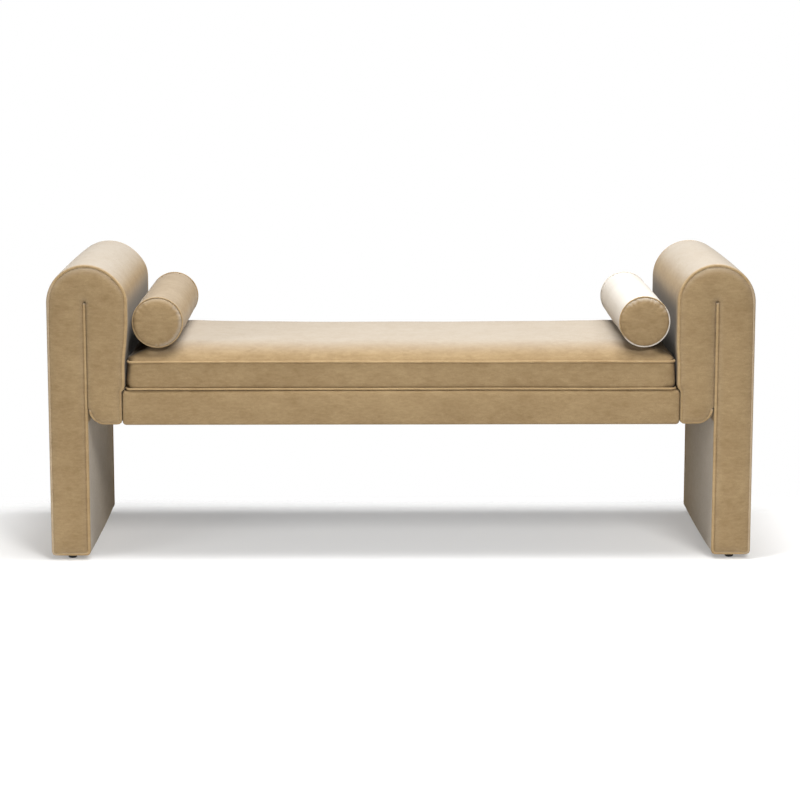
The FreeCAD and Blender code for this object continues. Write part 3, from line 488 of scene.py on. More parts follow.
def grid_faces(rows, columns, closed=False, flipped=False):
    """Faces between like rows of points; a closed row also joins its last point to its first."""
    faces = []
    for low in range(0, (rows - 1) * columns, columns):
        high = low + columns
        for index in range(columns if closed else columns - 1):
            after = (index + 1) % columns
            face = (low + index, low + after, high + after, high + index)
            faces.append((face[0], *face[:0:-1]) if flipped else face)
    return faces


def stacked_rings(rings):
    """Points and faces of a closed form made of like rings, with a point at the middle of each end."""
    count = len(rings[0])
    points = np.vstack([*rings, rings[0].mean(axis=0)[None], rings[-1].mean(axis=0)[None]])
    faces = grid_faces(len(rings), count, closed=True)
    first, last, top = len(points) - 2, len(points) - 1, (len(rings) - 1) * count
    for index in range(count):
        after = (index + 1) % count
        faces += [(first, after, index), (last, top + index, top + after)]
    return points, faces


# Geometry node trees

CORD_STEP, CORD_SIDES = 0.004, 10


def new_tree(name, **inputs):
    """A tree with a geometry in, a geometry out and named inputs."""
    tree = bpy.data.node_groups.new(name, "GeometryNodeTree")
    for way in ("INPUT", "OUTPUT"):
        tree.interface.new_socket("Geometry", in_out=way, socket_type="NodeSocketGeometry")
    for label, kind in inputs.items():
        tree.interface.new_socket(label, in_out="INPUT", socket_type=f"NodeSocket{kind}")
    return tree, tree.nodes.new("NodeGroupInput").outputs


def close_tree(tree, shape, material):
    """Ends a tree in real geometry with its material."""
    real = add_node(tree, "GeometryNodeRealizeInstances", Geometry=shape)
    painted = add_node(tree, "GeometryNodeSetMaterial", Geometry=real, Material=material)
    fill_named(tree, tree.nodes.new("NodeGroupOutput"), Geometry=painted)
    return tree


def piping_tree(name):
    """A cord covered in cloth along a path."""
    tree, given = new_tree(name, Radius="Float", Step="Float", Sides="Int", Material="Material")
    path = add_node(tree, "GeometryNodeMeshToCurve", Mesh=given["Geometry"])
    even = add_node(tree, "GeometryNodeResampleCurve", {"mode": "LENGTH"}, Curve=path, Length=given["Step"])
    section = add_node(tree, "GeometryNodeCurvePrimitiveCircle", Resolution=given["Sides"],
                       Radius=given["Radius"])
    tube = add_node(tree, "GeometryNodeCurveToMesh", Curve=even, Profile_Curve=section, Fill_Caps=True)
    return close_tree(tree, tube, given["Material"])


def row_tree(name):
    """One small block again and again along a path: zip teeth, stitches and staples."""
    tree, given = new_tree(name, Pitch="Float", Block="Vector", Material="Material")
    path = add_node(tree, "GeometryNodeMeshToCurve", Mesh=given["Geometry"])
    marks = add_node(tree, "GeometryNodeCurveToPoints", {"mode": "LENGTH"}, Curve=path, Length=given["Pitch"])
    block = add_node(tree, "GeometryNodeMeshCube", Size=given["Block"])
    rows = add_node(tree, "GeometryNodeInstanceOnPoints", Points=marks, Instance=block,
                    Rotation=marks.node.outputs["Rotation"])
    return close_tree(tree, rows, given["Material"])


def strap_tree(name):
    """Like straps side by side."""
    tree, given = new_tree(name, Count="Int", Pitch="Vector", First="Vector", Strap="Vector",
                           Material="Material")
    places = add_node(tree, "GeometryNodeMeshLine", Count=given["Count"], Start_Location=given["First"],
                      Offset=given["Pitch"])
    strap = add_node(tree, "GeometryNodeMeshCube", Size=given["Strap"], Vertices_X=5, Vertices_Y=31)
    straps = add_node(tree, "GeometryNodeInstanceOnPoints", Points=places, Instance=strap)
    return close_tree(tree, straps, given["Material"])


TREES = {"piping": piping_tree, "row": row_tree, "straps": strap_tree}


def grow(piece, word, finish, **inputs):
    """Runs a tree on a piece and keeps the plain mesh that comes out."""
    name = f"bench_{word}"
    modifier = piece.modifiers.new(word, "NODES")
    modifier.node_group = bpy.data.node_groups.get(name) or TREES[word](name)
    inputs["Material"] = finish_named(finish)
    for item in modifier.node_group.interface.items_tree:
        if item.in_out == "INPUT" and item.name in inputs:
            modifier[item.identifier] = inputs[item.name]
    piece.update_tag()
    return apply_modifiers(piece)


def add_path(name, runs):
    """Open or closed runs of points, as bare edges; a run is (points, closed)."""
    points, edges = [], []
    for run, closed in runs:
        first = len(points)
        points.extend(run)
        edges.extend((first + index, first + index + 1) for index in range(len(run) - 1))
        if closed:
            edges.append((len(points) - 1, first))
    return add_mesh(name, points, [], None, edges)


def add_piping(name, runs, thickness, finish="piping"):
    """A covered cord along runs of points."""
    return grow(add_path(name, runs), "piping", finish, Radius=thickness / 2, Step=CORD_STEP,
                Sides=CORD_SIDES)


# The arms

FOOT_RADIUS, FLAP_CORNER, FLAP_EDGE, LEAST_RADIUS = 0.009, 0.036, 0.009, 0.001
FLAP_DROP = 0.001
ROLL_FULL = {"left": 0.0055, "right": 0.0}
FLAP_LIFT = {"left": 0.0044, "right": 0.0014}
OUTLINE_STEP, FACE_STEP, FACE_PITCH = 0.006, 0.005, 0.0055
LATTICE_ROW_SHARE, LATTICE_CLEAR_SHARE = 0.866, 0.4
SEAM_ROWS = (0.0, 0.0015, 0.003, 0.005, 0.0075, 0.011, 0.016, 0.024, 0.036)
FAR_ROWS, BAND_ROWS = 0.055, 22
FACE_SUNK, FACE_SLIT_INSET = 0.0038, -0.0006
NEAR_EDGE, NEAR_SLIT = 0.02, 0.01
LEG_CORD_OUT, CORD_WANDER = 0.0013, 0.0003


def arm_outline(side, inset, flap_inset, leg_inset, step):
    """The left arm's J in x and z, taken in from its edge, and the kind of run that each point lies on."""
    foot, corner, edge = FOOT_RADIUS - inset, FLAP_CORNER - inset, max(FLAP_EDGE - inset, LEAST_RADIUS)
    low, under = ARM_LOW[2] + inset, SEAT_LOW[2] - FLAP_DROP + inset
    left, middle, right = inset, ARM_WIDTH / 2, ARM_WIDTH - inset
    slit_left, slit_right = middle - leg_inset, middle + sizes().slit + flap_inset
    corner_x = middle + sizes().slit + inset + corner
    runs = [
        ("arc", (left + foot, low + foot), foot, 270, 180),
        ("line", (left, low + foot), (left, ARCH_Z)),
        ("arc", (middle, ARCH_Z), middle - inset, 180, 0),
        ("line", (right, ARCH_Z), (right, under + edge)),
        ("arc", (right - edge, under + edge), edge, 0, -90),
        ("line", (right - edge, under), (corner_x, under)),
        ("arc", (corner_x, under + corner), corner, 270, 180),
        ("slit", (slit_right, under + corner), (slit_right, ARCH_Z)),
        ("slit_top", ((slit_left + slit_right) / 2, ARCH_Z), (slit_right - slit_left) / 2, 0, 180),
        ("slit", (slit_left, ARCH_Z), (slit_left, under + corner)),
        ("line", (slit_left, under + corner), (slit_left, low + foot)),
        ("arc", (slit_left - foot, low + foot), foot, 0, -90),
        ("line", (slit_left - foot, low), (left + foot, low)),
    ]
    points, kinds = [], []
    for kind, *facts in runs:
        run = (arc if kind in ("arc", "slit_top") else line)(*facts, step)
        points += run
        kinds += [kind] * len(run)
    points = np.array(points)
    x, z = points.T
    rail = sizes().rail_bite * fade(z, end=SEAT_HIGH[2] + 0.010, width=0.012)
    cushion_side = 0.0026 * fade(z, end=CUSHION_HIGH[2] + 0.04, width=0.06)
    roll = ramp(z, CUSHION_HIGH[2], width=0.09) * fade(z, ARM_HIGH[2] - inset, width=0.07)
    draw = np.maximum(rail, cushion_side) - ROLL_FULL[side] * roll
    x += ARM_LOW[0] - draw * part_way(x - ARM_WIDTH + 0.06, width=0.05)
    return points, np.array(kinds)


def arm_band(side):
    """The velvet band round an arm: it dips to the piped seams and puckers beside them."""
    sign = SIDES[side]
    points, kinds = arm_outline(side, 0.0, 0.0, 0.0, OUTLINE_STEP)
    run = run_lengths(points)
    along = np.roll(points, -1, axis=0) - np.roll(points, 1, axis=0)
    along /= np.linalg.norm(along, axis=1)[:, None]
    outward = np.column_stack([-along[:, 1], along[:, 0]])
    free = np.where(np.char.startswith(kinds, "slit"), 0.0, 1.0)
    soft = np.convolve(np.concatenate([free[-4:], free, free[:4]]), np.ones(9) / 9, mode="valid") * free
    half = ARM_FACE - sizes().arm_piping / 2
    rows = []
    for y in crowded(-half, half, SEAM_ROWS, FAR_ROWS, BAND_ROWS):
        edge = half - abs(y)
        swell = sizes().band_crown * (1 - (y / half) ** 2)
        spots = xyz(run * 34, y * 9, sign * 2.0)
        pucker = near(edge, amount=0.0011, reach=0.02) * ripple(spots)
        wave = 0.0012 * ripple(spots, 0.22)
        out = soft * (swell + pucker + wave) - near(edge, amount=0.0034, reach=0.004)
        x, z = (points + outward * out[:, None]).T
        rows.append(xyz(x * sign, y, z))
    faces = grid_faces(len(rows), len(run), closed=True, flipped=sign < 0)
    band = add_mesh(f"arm_{side}_velvet_band", np.vstack(rows), faces, "velvet")
    thicken(band, sizes().cloth)
    _, y, z = read_points(band.data).T
    tilt_x, _, tilt_z = tilts(band).T
    # Painted sheen on the band's top and on the legs' inner sides, and painted shade in the crease beside the
    # bolster
    inward = ramp(tilt_x * sign, 0.3, 0.4)
    crease_shade = inward * fade(z, end=ARM_HIGH[2] - 0.05, width=0.06) * (z > CUSHION_LOW[2])
    crease_shade *= fade(np.abs(y), end=ARM_FACE - 0.002, width=0.03)
    leg_inside = inward * (z < SEAT_LOW[2]) * fade(y, end=0.4, width=0.65)
    paint_sheen_and_shade(band, np.maximum(ramp(tilt_z, 0.3, 0.6), leg_inside), 0.95 * crease_shade)
    dress(band, "frame", "velvet", f"arm_{side}_boxing", f"arm_{side}_wrap_foam")


def inside(points, loop):
    """Which points lie inside a closed outline."""
    x, z = points.T[:, :, None]
    x1, z1 = loop.T[:, None]
    x2, z2 = np.roll(loop, -1, axis=0).T[:, None]
    crosses = (z1 > z) != (z2 > z)
    with np.errstate(divide="ignore", invalid="ignore"):
        at = x1 + (z - z1) / (z2 - z1) * (x2 - x1)
    return np.sum(crosses & (x < at), axis=1) % 2 == 1


def filled(edge, pitch):
    """Points and triangles that fill a closed outline, on an even lattice."""
    inside_only, merge_gap = 1, 1e-7
    (low_x, low_z), (high_x, high_z) = edge.min(axis=0), edge.max(axis=0)
    marks_x, marks_z = np.arange(low_x, high_x, pitch), np.arange(low_z, high_z, pitch * LATTICE_ROW_SHARE)
    lattice = np.array([(x + (row % 2) * pitch / 2, z) for row, z in enumerate(marks_z) for x in marks_x])
    lattice = lattice[inside(lattice, edge)]
    lattice = lattice[nearest_gap(lattice, edge) > pitch * LATTICE_CLEAR_SHARE]
    flat, loop = [Vector(point) for point in np.vstack([edge, lattice])], list(range(len(edge)))
    points, _, faces, *_ = geometry.delaunay_2d_cdt(flat, [], [loop], inside_only, merge_gap)
    return np.array([tuple(point) for point in points]), faces


def arm_face(side, end):
    """A padded J-shaped face: sewn down at its edge, swelling inside it, with small puckers at the arch."""
    sign, way, inset = SIDES[side], ENDS[end], sizes().arm_piping / 2
    edge, kinds = arm_outline(side, inset, FACE_SLIT_INSET, inset, FACE_STEP)
    edge_x, edge_z = edge.T
    spots, faces = filled(edge, FACE_PITCH)
    x, z = spots.T
    distance = np.linalg.norm(spots[:, None] - edge[None], axis=2)
    depth, nearest = distance.min(axis=1), distance.argmin(axis=1)
    to_flap = distance[:, (kinds == "slit") & (edge_x > LEG_EDGE)].min(axis=1)
    to_leg = distance[:, (kinds == "slit") & (edge_x < LEG_EDGE)].min(axis=1)
    rise = sizes().face_crown * (1 - near(depth, amount=1.0, reach=0.0095))
    rise += near(to_flap, FLAP_LIFT[side], reach=0.012) * (x > LEG_EDGE)
    rise -= near(to_leg, amount=0.0012, reach=0.003) * (x < LEG_EDGE)
    seed = sign * 3 + way
    rise += 0.0007 * ripple(xyz(x, 0.0, z), 16.0, seed) * part_way(depth, width=0.02)
    pucker = ripple(xyz(run_lengths(edge)[nearest] * 62, depth * 18, seed))
    rise += pucker * gathers(depth, amount=0.0009, reach=0.016, start=0.004)
    outer = (edge_x < ARM_LOW[0] + NEAR_EDGE) * fade(edge_z, ARCH_Z + NEAR_EDGE, width=0.06)
    low_flap = (edge_x > LEG_EDGE + NEAR_SLIT) * fade(edge_z, SEAT_HIGH[2] + NEAR_EDGE, width=0.03)
    rise += np.maximum(outer, low_flap)[nearest] * near(depth, amount=0.0026, reach=0.006)
    points = xyz(x * sign, way * (ARM_FACE - FACE_SUNK + rise), z)
    face = add_mesh(f"arm_{side}_{end}_velvet_face", points, faces, "velvet")
    if face.data.polygons[len(faces) // 2].normal.y * way < 0:
        face.data.flip_normals()
    thicken(face, sizes().cloth)
    tilt_x, _, tilt_z = tilts(face).T
    # Painted highlight: paler where the crowned face turns up and out to the light
    paint_sheen_and_shade(face, 0.07 * ramp(np.hypot(tilt_x, tilt_z), 0.08, 0.5) + 0.34 * ramp(tilt_z, 0.08, 0.5))
    dress(face, "frame", "velvet", f"arm_{side}_{end}_panel", f"arm_{side}_{end}_pad")


def arm_piping(side):
    """Piped seams round both faces, from the slit's top down the leg, over the arch and under the flap."""
    sign, thickness = SIDES[side], sizes().arm_piping
    inset = thickness / 2
    points, kinds = arm_outline(side, inset, inset, inset - LEG_CORD_OUT, CORD_STEP)
    start, stop = np.flatnonzero(kinds == "slit_top")[-1] + 1, np.flatnonzero(kinds == "slit")[0]
    x, z = np.vstack([points[start:], points[:stop]]).T
    runs = []
    for way in ENDS.values():
        wander = CORD_WANDER * ripple(xyz(x, way * 3.0, z), 24.0, sign)
        runs.append((xyz(x * sign, way * (ARM_FACE - inset) + wander, z), False))
    cord = add_piping(f"arm_{side}_piped_seams", runs, thickness)
    x, _, z = read_points(cord.data).T
    # Painted shade on the cord low on the flap, and painted sheen on its tops and down the outer edge
    flap_cord_shade = ramp(x * sign, LEG_EDGE + 0.012, width=0.01) * fade(z, CUSHION_LOW[2] + 0.02, width=0.03)
    outer = fade(x * sign, ARM_LOW[0] + NEAR_EDGE, width=0.01)
    paint_sheen_and_shade(cord, np.maximum(0.55 * ramp(tilts(cord)[:, 2], 0.2, 0.6), 0.4 * outer), 0.2 * flap_cord_shade)
    dress(cord, "frame", "piping", f"arm_{side}_piping")


# The seat

RAIL_EDGE_RADIUS, RAIL_END_RADIUS, RAIL_FRONT, RAIL_END = 0.007, 0.008, 0.02, 0.03
RAIL_END_ROWS, RAIL_ROWS = (0.0, 0.0008, 0.002, 0.004, 0.008, 0.014, 0.024, 0.038), 110
DUST_CLOTH, DUST_COLUMNS, DUST_ROWS = 0.0006, 61, 27
STAPLE, STAPLE_PITCH, STAPLE_INSET, STAPLE_SUNK = (0.0007, 0.0007, 0.011), 0.042, 0.006, 0.0002
STRAP_WIDTH, STRAP_PITCH = 0.06, 0.096


def seat_dress():
    """Velvet pulled over the seat's rails, slightly swollen in front and behind, with its hem underneath."""
    left, right = SEAT_LOW[0] - sizes().rail_bite, SEAT_HIGH[0] + sizes().rail_bite
    half_y, half_z = SEAT_HIGH[1], (SEAT_HIGH[2] - SEAT_LOW[2]) / 2
    middle_z = (SEAT_HIGH[2] + SEAT_LOW[2]) / 2
    loop_y, loop_z = rounded_loop(half_y, half_z, RAIL_EDGE_RADIUS, OUTLINE_STEP).T
    past_edge = np.abs(loop_y) - half_y
    upright = np.sign(loop_y) * part_way(past_edge + RAIL_FRONT, RAIL_FRONT)
    sag = 0.0036 * ramp(past_edge, start=-0.012, width=0.010) * (loop_z < 0)
    rings = []
    for x in crowded(left, right, RAIL_END_ROWS, FAR_ROWS, RAIL_ROWS):
        edge = right - abs(x)
        in_corner = max(0.0, RAIL_END_RADIUS - edge)
        drawn = RAIL_END_RADIUS - math.sqrt(max(0.0, RAIL_END_RADIUS ** 2 - in_corner ** 2))
        swell = sizes().rail_crown * (1 - (loop_z / half_z) ** 2) * part_way(edge, RAIL_END)
        swell += 0.0006 * ripple(xyz(x * 5, loop_y * 3, loop_z * 14))
        swell += near(edge, amount=0.0007, reach=RAIL_END) * ripple(xyz(x * 45, loop_y * 3, 4.0))
        y = loop_y * (half_y - drawn) / half_y + swell * upright
        rings.append(xyz(x, y, middle_z + (loop_z - sag) * (half_z - drawn) / half_z))
    points, faces = stacked_rings(rings)
    cover = add_mesh("seat_velvet_cover", points, faces, "velvet")
    face_outwards(cover)
    dress(cover, "frame", "velvet", "seat_cover", "seat_deck_pad")


def seat_underside():
    """Black cloth under the seat, sagging a little, held by rows of staples."""
    low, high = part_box("seat_dust_cover")
    grid = np.meshgrid(np.linspace(low[0], high[0], DUST_COLUMNS), np.linspace(low[1], high[1], DUST_ROWS))
    x, y = (marks.ravel() for marks in grid)
    edge = np.minimum.reduce([x - low[0], high[0] - x, y - low[1], high[1] - y])
    sag = 0.0022 * (1 - near(edge, amount=1.0, reach=0.09))
    wave = 0.0007 * ripple(xyz(x * 9, y * 14, 1.0)) * part_way(edge, width=0.03)
    faces = grid_faces(DUST_ROWS, DUST_COLUMNS, flipped=True)
    cloth = add_mesh("seat_dust_cloth", xyz(x, y, low[2] + DUST_CLOTH - sag + wave), faces, "dust_cloth")
    thicken(cloth, DUST_CLOTH)
    dress(cloth, "frame", "black_cloth", "seat_dust_cover")

    loop = rounded_loop(high[0] - STAPLE_INSET, high[1] - STAPLE_INSET, radius=0.002, step=0.02)
    path = add_path("seat_dust_cloth_staples", [(xyz(*loop.T, low[2] + STAPLE_SUNK), True)])
    dress(grow(path, "row", "steel", Pitch=STAPLE_PITCH, Block=STAPLE), "frame", "steel")


def seat_straps():
    """Elastic straps over the seat's rails."""
    low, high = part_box("seat_webbing")
    path = add_path("seat_straps", [([(0, 0, 0), (0.001, 0, 0)], False)])
    straps = grow(path, "straps", "webbing", Count=round((high[0] - low[0] - STRAP_WIDTH) / STRAP_PITCH) + 1,
                  Pitch=(STRAP_PITCH, 0, 0), Strap=(STRAP_WIDTH, high[1] - low[1], high[2] - low[2]),
                  First=(low[0] + STRAP_WIDTH / 2, (low[1] + high[1]) / 2, (low[2] + high[2]) / 2))
    dress(straps, "frame", "webbing", "seat_webbing")


# Blown-up covers

AIR_FRAMES = 20
COVER_CLOTH = {
    "use_pressure": True, "uniform_pressure_force": 4.0, "vertex_group_mass": "sewn", "quality": 6,
    "tension_stiffness": 12, "compression_stiffness": 12, "bending_stiffness": 1.2,
}


def closed_cover(name, rings, voxel):
    """A closed velvet cover made of rings, with even small faces all over."""
    cover = add_mesh(name, *stacked_rings(rings), "velvet")
    face_outwards(cover)
    return modify(cover, "REMESH", mode="VOXEL", voxel_size=voxel)


def blow(piece, held, cap):
    """Fills a closed cover with air as a cloth, held where told, and keeps every point within the cap."""
    start = read_points(piece.data)
    pins = piece.vertex_groups.new(name="sewn")
    pins.add([int(index) for index in np.flatnonzero(held)], 1.0, "REPLACE")
    cloth = piece.modifiers.new("cloth", "CLOTH")
    for name, value in COVER_CLOTH.items():
        setattr(cloth.settings, name, value)
    cloth.settings.effector_weights.gravity = 0.0
    cloth.collision_settings.use_collision = False
    scene = bpy.context.scene
    for number in range(1, AIR_FRAMES + 1):
        scene.frame_set(number)
    view = bpy.context.evaluated_depsgraph_get()
    moved = read_points(piece.evaluated_get(view).to_mesh()) - start
    piece.evaluated_get(view).to_mesh_clear()
    piece.modifiers.clear()
    piece.vertex_groups.clear()
    scene.frame_set(1)
    length = np.linalg.norm(moved, axis=1)
    moved *= (cap * np.tanh(length / cap) / np.maximum(length, 1e-9))[:, None]
    write_points(piece.data, start + moved)


def puff(piece, held, cap):
    blow(piece, held, cap)
    modify(piece, "SUBSURF", levels=1, render_levels=1)
    return read_points(piece.data)


# The cushion

COVER_X, COVER_Y = CUSHION_HIGH[0] + 0.0024, CUSHION_HIGH[1] - 0.0012
CUSHION_BOTTOM, CUSHION_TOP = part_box("cushion_bottom_panel")[0][2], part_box("cushion_top_panel")[1][2]
LOWER_SEAM_OUT, UPPER_SEAM_IN, SEAM_RADIUS, SEAM_WANDER = 0.0038, 0.0002, 0.013, 0.0006
BOXING_HEIGHT, BOXING_INSET, BOXING_LEAN, BOXING_FLARE, BOXING_STEPS = 0.06, 0.0008, 0.003, 0.0016, 6
SHOULDER, SHOULDER_STEPS, CROWN_DROP = 0.038, 8, 0.0045
UNDERSIDE_INSETS, CROWN_INSETS_AND_RISES = (0.06, 0.012), ((0.09, 0.0012), (0.16, 0.002))
CORNER_RADIUS, CORNER_SHARE, END_INSET_SHARE, COVER_STEP = 0.016, 0.5, 0.6, 0.02
CUSHION_VOXEL, CUSHION_CAP, CUSHION_SEWN = 0.008, 0.009, 0.006
GROOVE_LOW, GROOVE_HIGH, GROOVE_REACH = 0.0004, 0.0016, 0.0045
REST_GAP, REST_SOFTNESS, UNDERSIDE_SPARE = 0.0008, 0.002, 0.0002


def pull_in(points):
    """Draws the cushion's front and ends in between its corners, and leaves its back, where the zip lies."""
    depth, width = 0.1, 0.09
    x, y = points[:, 0].copy(), points[:, 1].copy()
    far_x, far_y = CUSHION_HIGH[0], CUSHION_HIGH[1]
    front_pull = 0.0026 * (1 - (x / far_x) ** 2).clip(0)
    end_pull = 0.0012 * (1 - (y / far_y) ** 2).clip(0)
    points[:, 1] += front_pull * fade(y, depth - far_y, width)
    points[:, 0] -= end_pull * np.sign(x) * ramp(np.abs(x), far_x - depth, width)
    return points


def cushion_seams():
    """The two piped seams round the cushion, each a loop of points."""
    half = sizes().cushion_piping / 2
    loops = []
    for z, end_inset, inset in ((CUSHION_LOW[2] + half, -LOWER_SEAM_OUT, 0.0),
                                (CUSHION_HIGH[2] - half, UPPER_SEAM_IN, UPPER_SEAM_IN)):
        half_x, half_y = CUSHION_HIGH[0] - (half + end_inset), CUSHION_HIGH[1] - half - inset
        loop = xyz(*rounded_loop(half_x, half_y, SEAM_RADIUS, OUTLINE_STEP).T, z)
        loop[:, 2] += SEAM_WANDER * ripple(loop, 9.0, z * 10)
        loops.append(pull_in(loop))
    return loops


def cushion_rings(lower_z, upper_z):
    """Rings of the cushion's cover: flat underneath, upright boxing, a round shoulder and a crown."""
    crown = CUSHION_TOP - upper_z - CROWN_DROP
    levels = [(inset, CUSHION_BOTTOM) for inset in UNDERSIDE_INSETS]
    for share in np.linspace(0, 1, BOXING_STEPS + 1):
        levels.append((BOXING_INSET + BOXING_LEAN * share, lower_z + BOXING_HEIGHT * share))
    for angle in np.linspace(0, math.pi / 2, SHOULDER_STEPS + 1)[1:]:
        inset = BOXING_INSET + BOXING_LEAN + SHOULDER * (1 - math.cos(angle))
        levels.append((inset, upper_z + crown * math.sin(angle)))
    levels += [(inset, upper_z + crown + rise) for inset, rise in CROWN_INSETS_AND_RISES]
    rings = []
    for inset, z in levels:
        flare = BOXING_FLARE * part_way(upper_z - z, BOXING_HEIGHT)
        loop = rounded_loop(COVER_X + flare - inset * END_INSET_SHARE, COVER_Y - inset,
                            CORNER_RADIUS + inset * CORNER_SHARE, COVER_STEP)
        closed = np.vstack([loop, loop[:1]])
        loop = walk_again(closed, np.linspace(0, 1, len(closed)), len(rings[0]) if rings else len(loop))
        rings.append(pull_in(xyz(*loop.T, z)))
    return rings


def bolster_axis(side):
    """A bolster's axis in x and z, and its radius."""
    low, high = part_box(f"bolster_{side}_cover")
    return (low[0] + high[0]) / 2, (low[2] + high[2]) / 2, (high[2] - low[2]) / 2


def settle_cushion(spots, seams, lower_z, upper_z):
    """Sinks the cushion's seams, puckers its cloth beside them and presses it down under the bolsters."""
    side_depth, steepest = 0.05, 30
    x, y, z = spots.T
    gap = nearest_gap(spots, seams)
    inward = xyz(-np.sign(x) * (np.abs(x) > COVER_X - side_depth),
                 -np.sign(y) * (np.abs(y) > COVER_Y - side_depth), 0.0)
    groove = np.where(z < (lower_z + upper_z) / 2, GROOVE_LOW, GROOVE_HIGH)
    spots += inward * (groove * np.exp(-(gap / GROOVE_REACH) ** 2))[:, None]
    z += 0.0016 * ripple(spots, 7.0, 2) * (z > upper_z + 0.01)
    pucker = ripple(spots * np.array([1.0, 1.0, 0.25]), 55.0, 5)
    spots += inward * (pucker * gathers(gap, amount=0.0012, reach=0.014, start=CUSHION_SEWN))[:, None]
    for side in SIDES:
        axis_x, axis_z, radius = bolster_axis(side)
        reach = np.clip(radius ** 2 - (x - axis_x) ** 2, 0, None)
        under = (reach > 0) & (z > upper_z)
        above = (z - (axis_z - np.sqrt(reach) - REST_GAP))[under]
        z[under] -= REST_SOFTNESS * np.log1p(np.exp(np.clip(above / REST_SOFTNESS, -steepest, steepest)))
    z[:] = np.maximum(z, CUSHION_BOTTOM - UNDERSIDE_SPARE)


def paint_cushion_sheen_and_shade(body):
    """Painted sheen on top and beside the bolsters, fading towards the edges, and painted shade in the crease
    behind the bolsters.
    """
    x, y, _ = np.abs(read_points(body.data)).T
    level, axis = tilts(body)[:, 2], abs(bolster_axis("left")[0])
    beside = ramp(x, axis - 0.13, width=0.05) * ramp(level, 0.1, 0.3)
    from_edge = np.minimum(COVER_Y - y, COVER_X - x)
    pale = 0.9 * np.maximum(ramp(level, 0.6, 0.35), beside) * ramp(from_edge, 0.004, width=0.11)
    # Painted shade in the crease between the cushion and the arm, behind each bolster
    crease_shade = ramp(x, axis + 0.01, width=0.03) * fade(y, COVER_Y - 0.008, width=0.026)
    paint_sheen_and_shade(body, pale * (1 - crease_shade), 0.9 * crease_shade)


def cushion():
    """The seat cushion: a box cover with a full crown, blown up between its piped seams."""
    lower, upper = cushion_seams()
    seams, lower_z, upper_z = np.vstack([lower, upper]), lower[0][2], upper[0][2]
    body = closed_cover("cushion_velvet", cushion_rings(lower_z, upper_z), CUSHION_VOXEL)
    spots = read_points(body.data)
    x, y, z = spots.T
    tape_low, tape_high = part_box("cushion_zip_tape")
    at_zip = (np.abs(x) < tape_high[0] + 0.012) & (y > COVER_Y - 0.02)
    at_zip &= (z > tape_low[2] - 0.008) & (z < tape_high[2] + 0.008)
    held = (nearest_gap(spots, seams) < CUSHION_SEWN) | at_zip | (z < lower_z + 0.001)
    spots = puff(body, held, CUSHION_CAP)
    settle_cushion(spots, seams, lower_z, upper_z)
    write_points(body.data, spots)
    paint_cushion_sheen_and_shade(body)
    dress(body, "cushion", "velvet",
          "cushion_core", "cushion_top_panel", "cushion_boxing", "cushion_bottom_panel")


def cushion_piping():
    runs = [(loop, True) for loop in cushion_seams()]
    cord = add_piping("cushion_piped_seams", runs, sizes().cushion_piping)
    dress(cord, "cushion", "piping", "cushion_piping")


# The zip

TAPE, TAPE_POINTS, TAPE_HEM, TAPE_FOLD = 0.001, 181, 0.003, 0.0035
TAPE_RISES = (-0.0004, 0.0006, 0.0002, -0.0004, 0.0002, 0.0006, -0.0004)
TOOTH, TOOTH_PITCH, TOOTH_OFFSET = (0.0024, 0.0014, 0.0012), 0.0024, 0.0011
STITCH, STITCH_PITCH, STITCH_INSET = (0.0006, 0.0008, 0.003), 0.004, 0.0035
ROW_END, ROW_OUT = 0.004, 0.0006


def cushion_zip():
    """The zip in the back of the cushion: tape, teeth and the two rows of stitches that hold it."""
    low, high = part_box("cushion_zip_tape")
    middle, face = (low[2] + high[2]) / 2, high[1]
    upright = (low[2], low[2] + TAPE_HEM, middle - TAPE_FOLD, middle, middle + TAPE_FOLD,
               high[2] - TAPE_HEM, high[2])
    x = np.tile(np.linspace(low[0], high[0], TAPE_POINTS), len(upright))
    z, rise = np.repeat(upright, TAPE_POINTS), np.repeat(TAPE_RISES, TAPE_POINTS)
    y = face + rise + 0.0003 * ripple(xyz(x * 30, z * 30, 2.0))
    faces = grid_faces(len(upright), TAPE_POINTS, flipped=True)
    tape = add_mesh("cushion_zip_tape_cloth", xyz(x, y, z), faces, "zip_tape")
    thicken(tape, TAPE)
    dress(tape, "cushion", "zip_tape", "cushion_zip_tape")

    def row(name, z, finish, slot, **block):
        run = [(low[0] + ROW_END, face + ROW_OUT, z), (high[0] - ROW_END, face + ROW_OUT, z)]
        dress(grow(add_path(name, [(run, False)]), "row", finish, **block), "cushion", slot)

    for name, z in (("upper", middle + TOOTH_OFFSET), ("lower", middle - TOOTH_OFFSET)):
        row(f"cushion_zip_teeth_{name}", z, "brass", "zip_metal", Pitch=TOOTH_PITCH, Block=TOOTH)
    for name, z in (("upper", high[2] - STITCH_INSET), ("lower", low[2] + STITCH_INSET)):
        row(f"cushion_zip_stitches_{name}", z, "piping", "piping", Pitch=STITCH_PITCH, Block=STITCH)


# The bolsters

RIM_POINTS, RIM_WANDER, RIM_INSET, BARREL_POINTS, BARREL_RINGS = 96, 0.0006, 0.0022, 72, 41
DISC_SHARES_AND_RISES = (
    (0.12, 0.0098), (0.45, 0.0092), (0.7, 0.0080), (0.86, 0.0058), (0.95, 0.0032), (1.0, 0.0))
BARREL_SHARE = 0.034
BOLSTER_VOXEL, BOLSTER_CAP, BOLSTER_SEWN = 0.005, 0.003, 0.0055
SPARE_BELOW, SPARE_ABOVE, LEAST_REACH = 0.0006, 0.003, 0.01
# Where the right bolster's painted sheen starts, and how much painted sheen lies on each bolster's top
PAINTED_SHEEN_FROM_SEAM = 0.0015
TOP_PAINTED_SHEEN = {"left": 0.45, "right": 1.0}


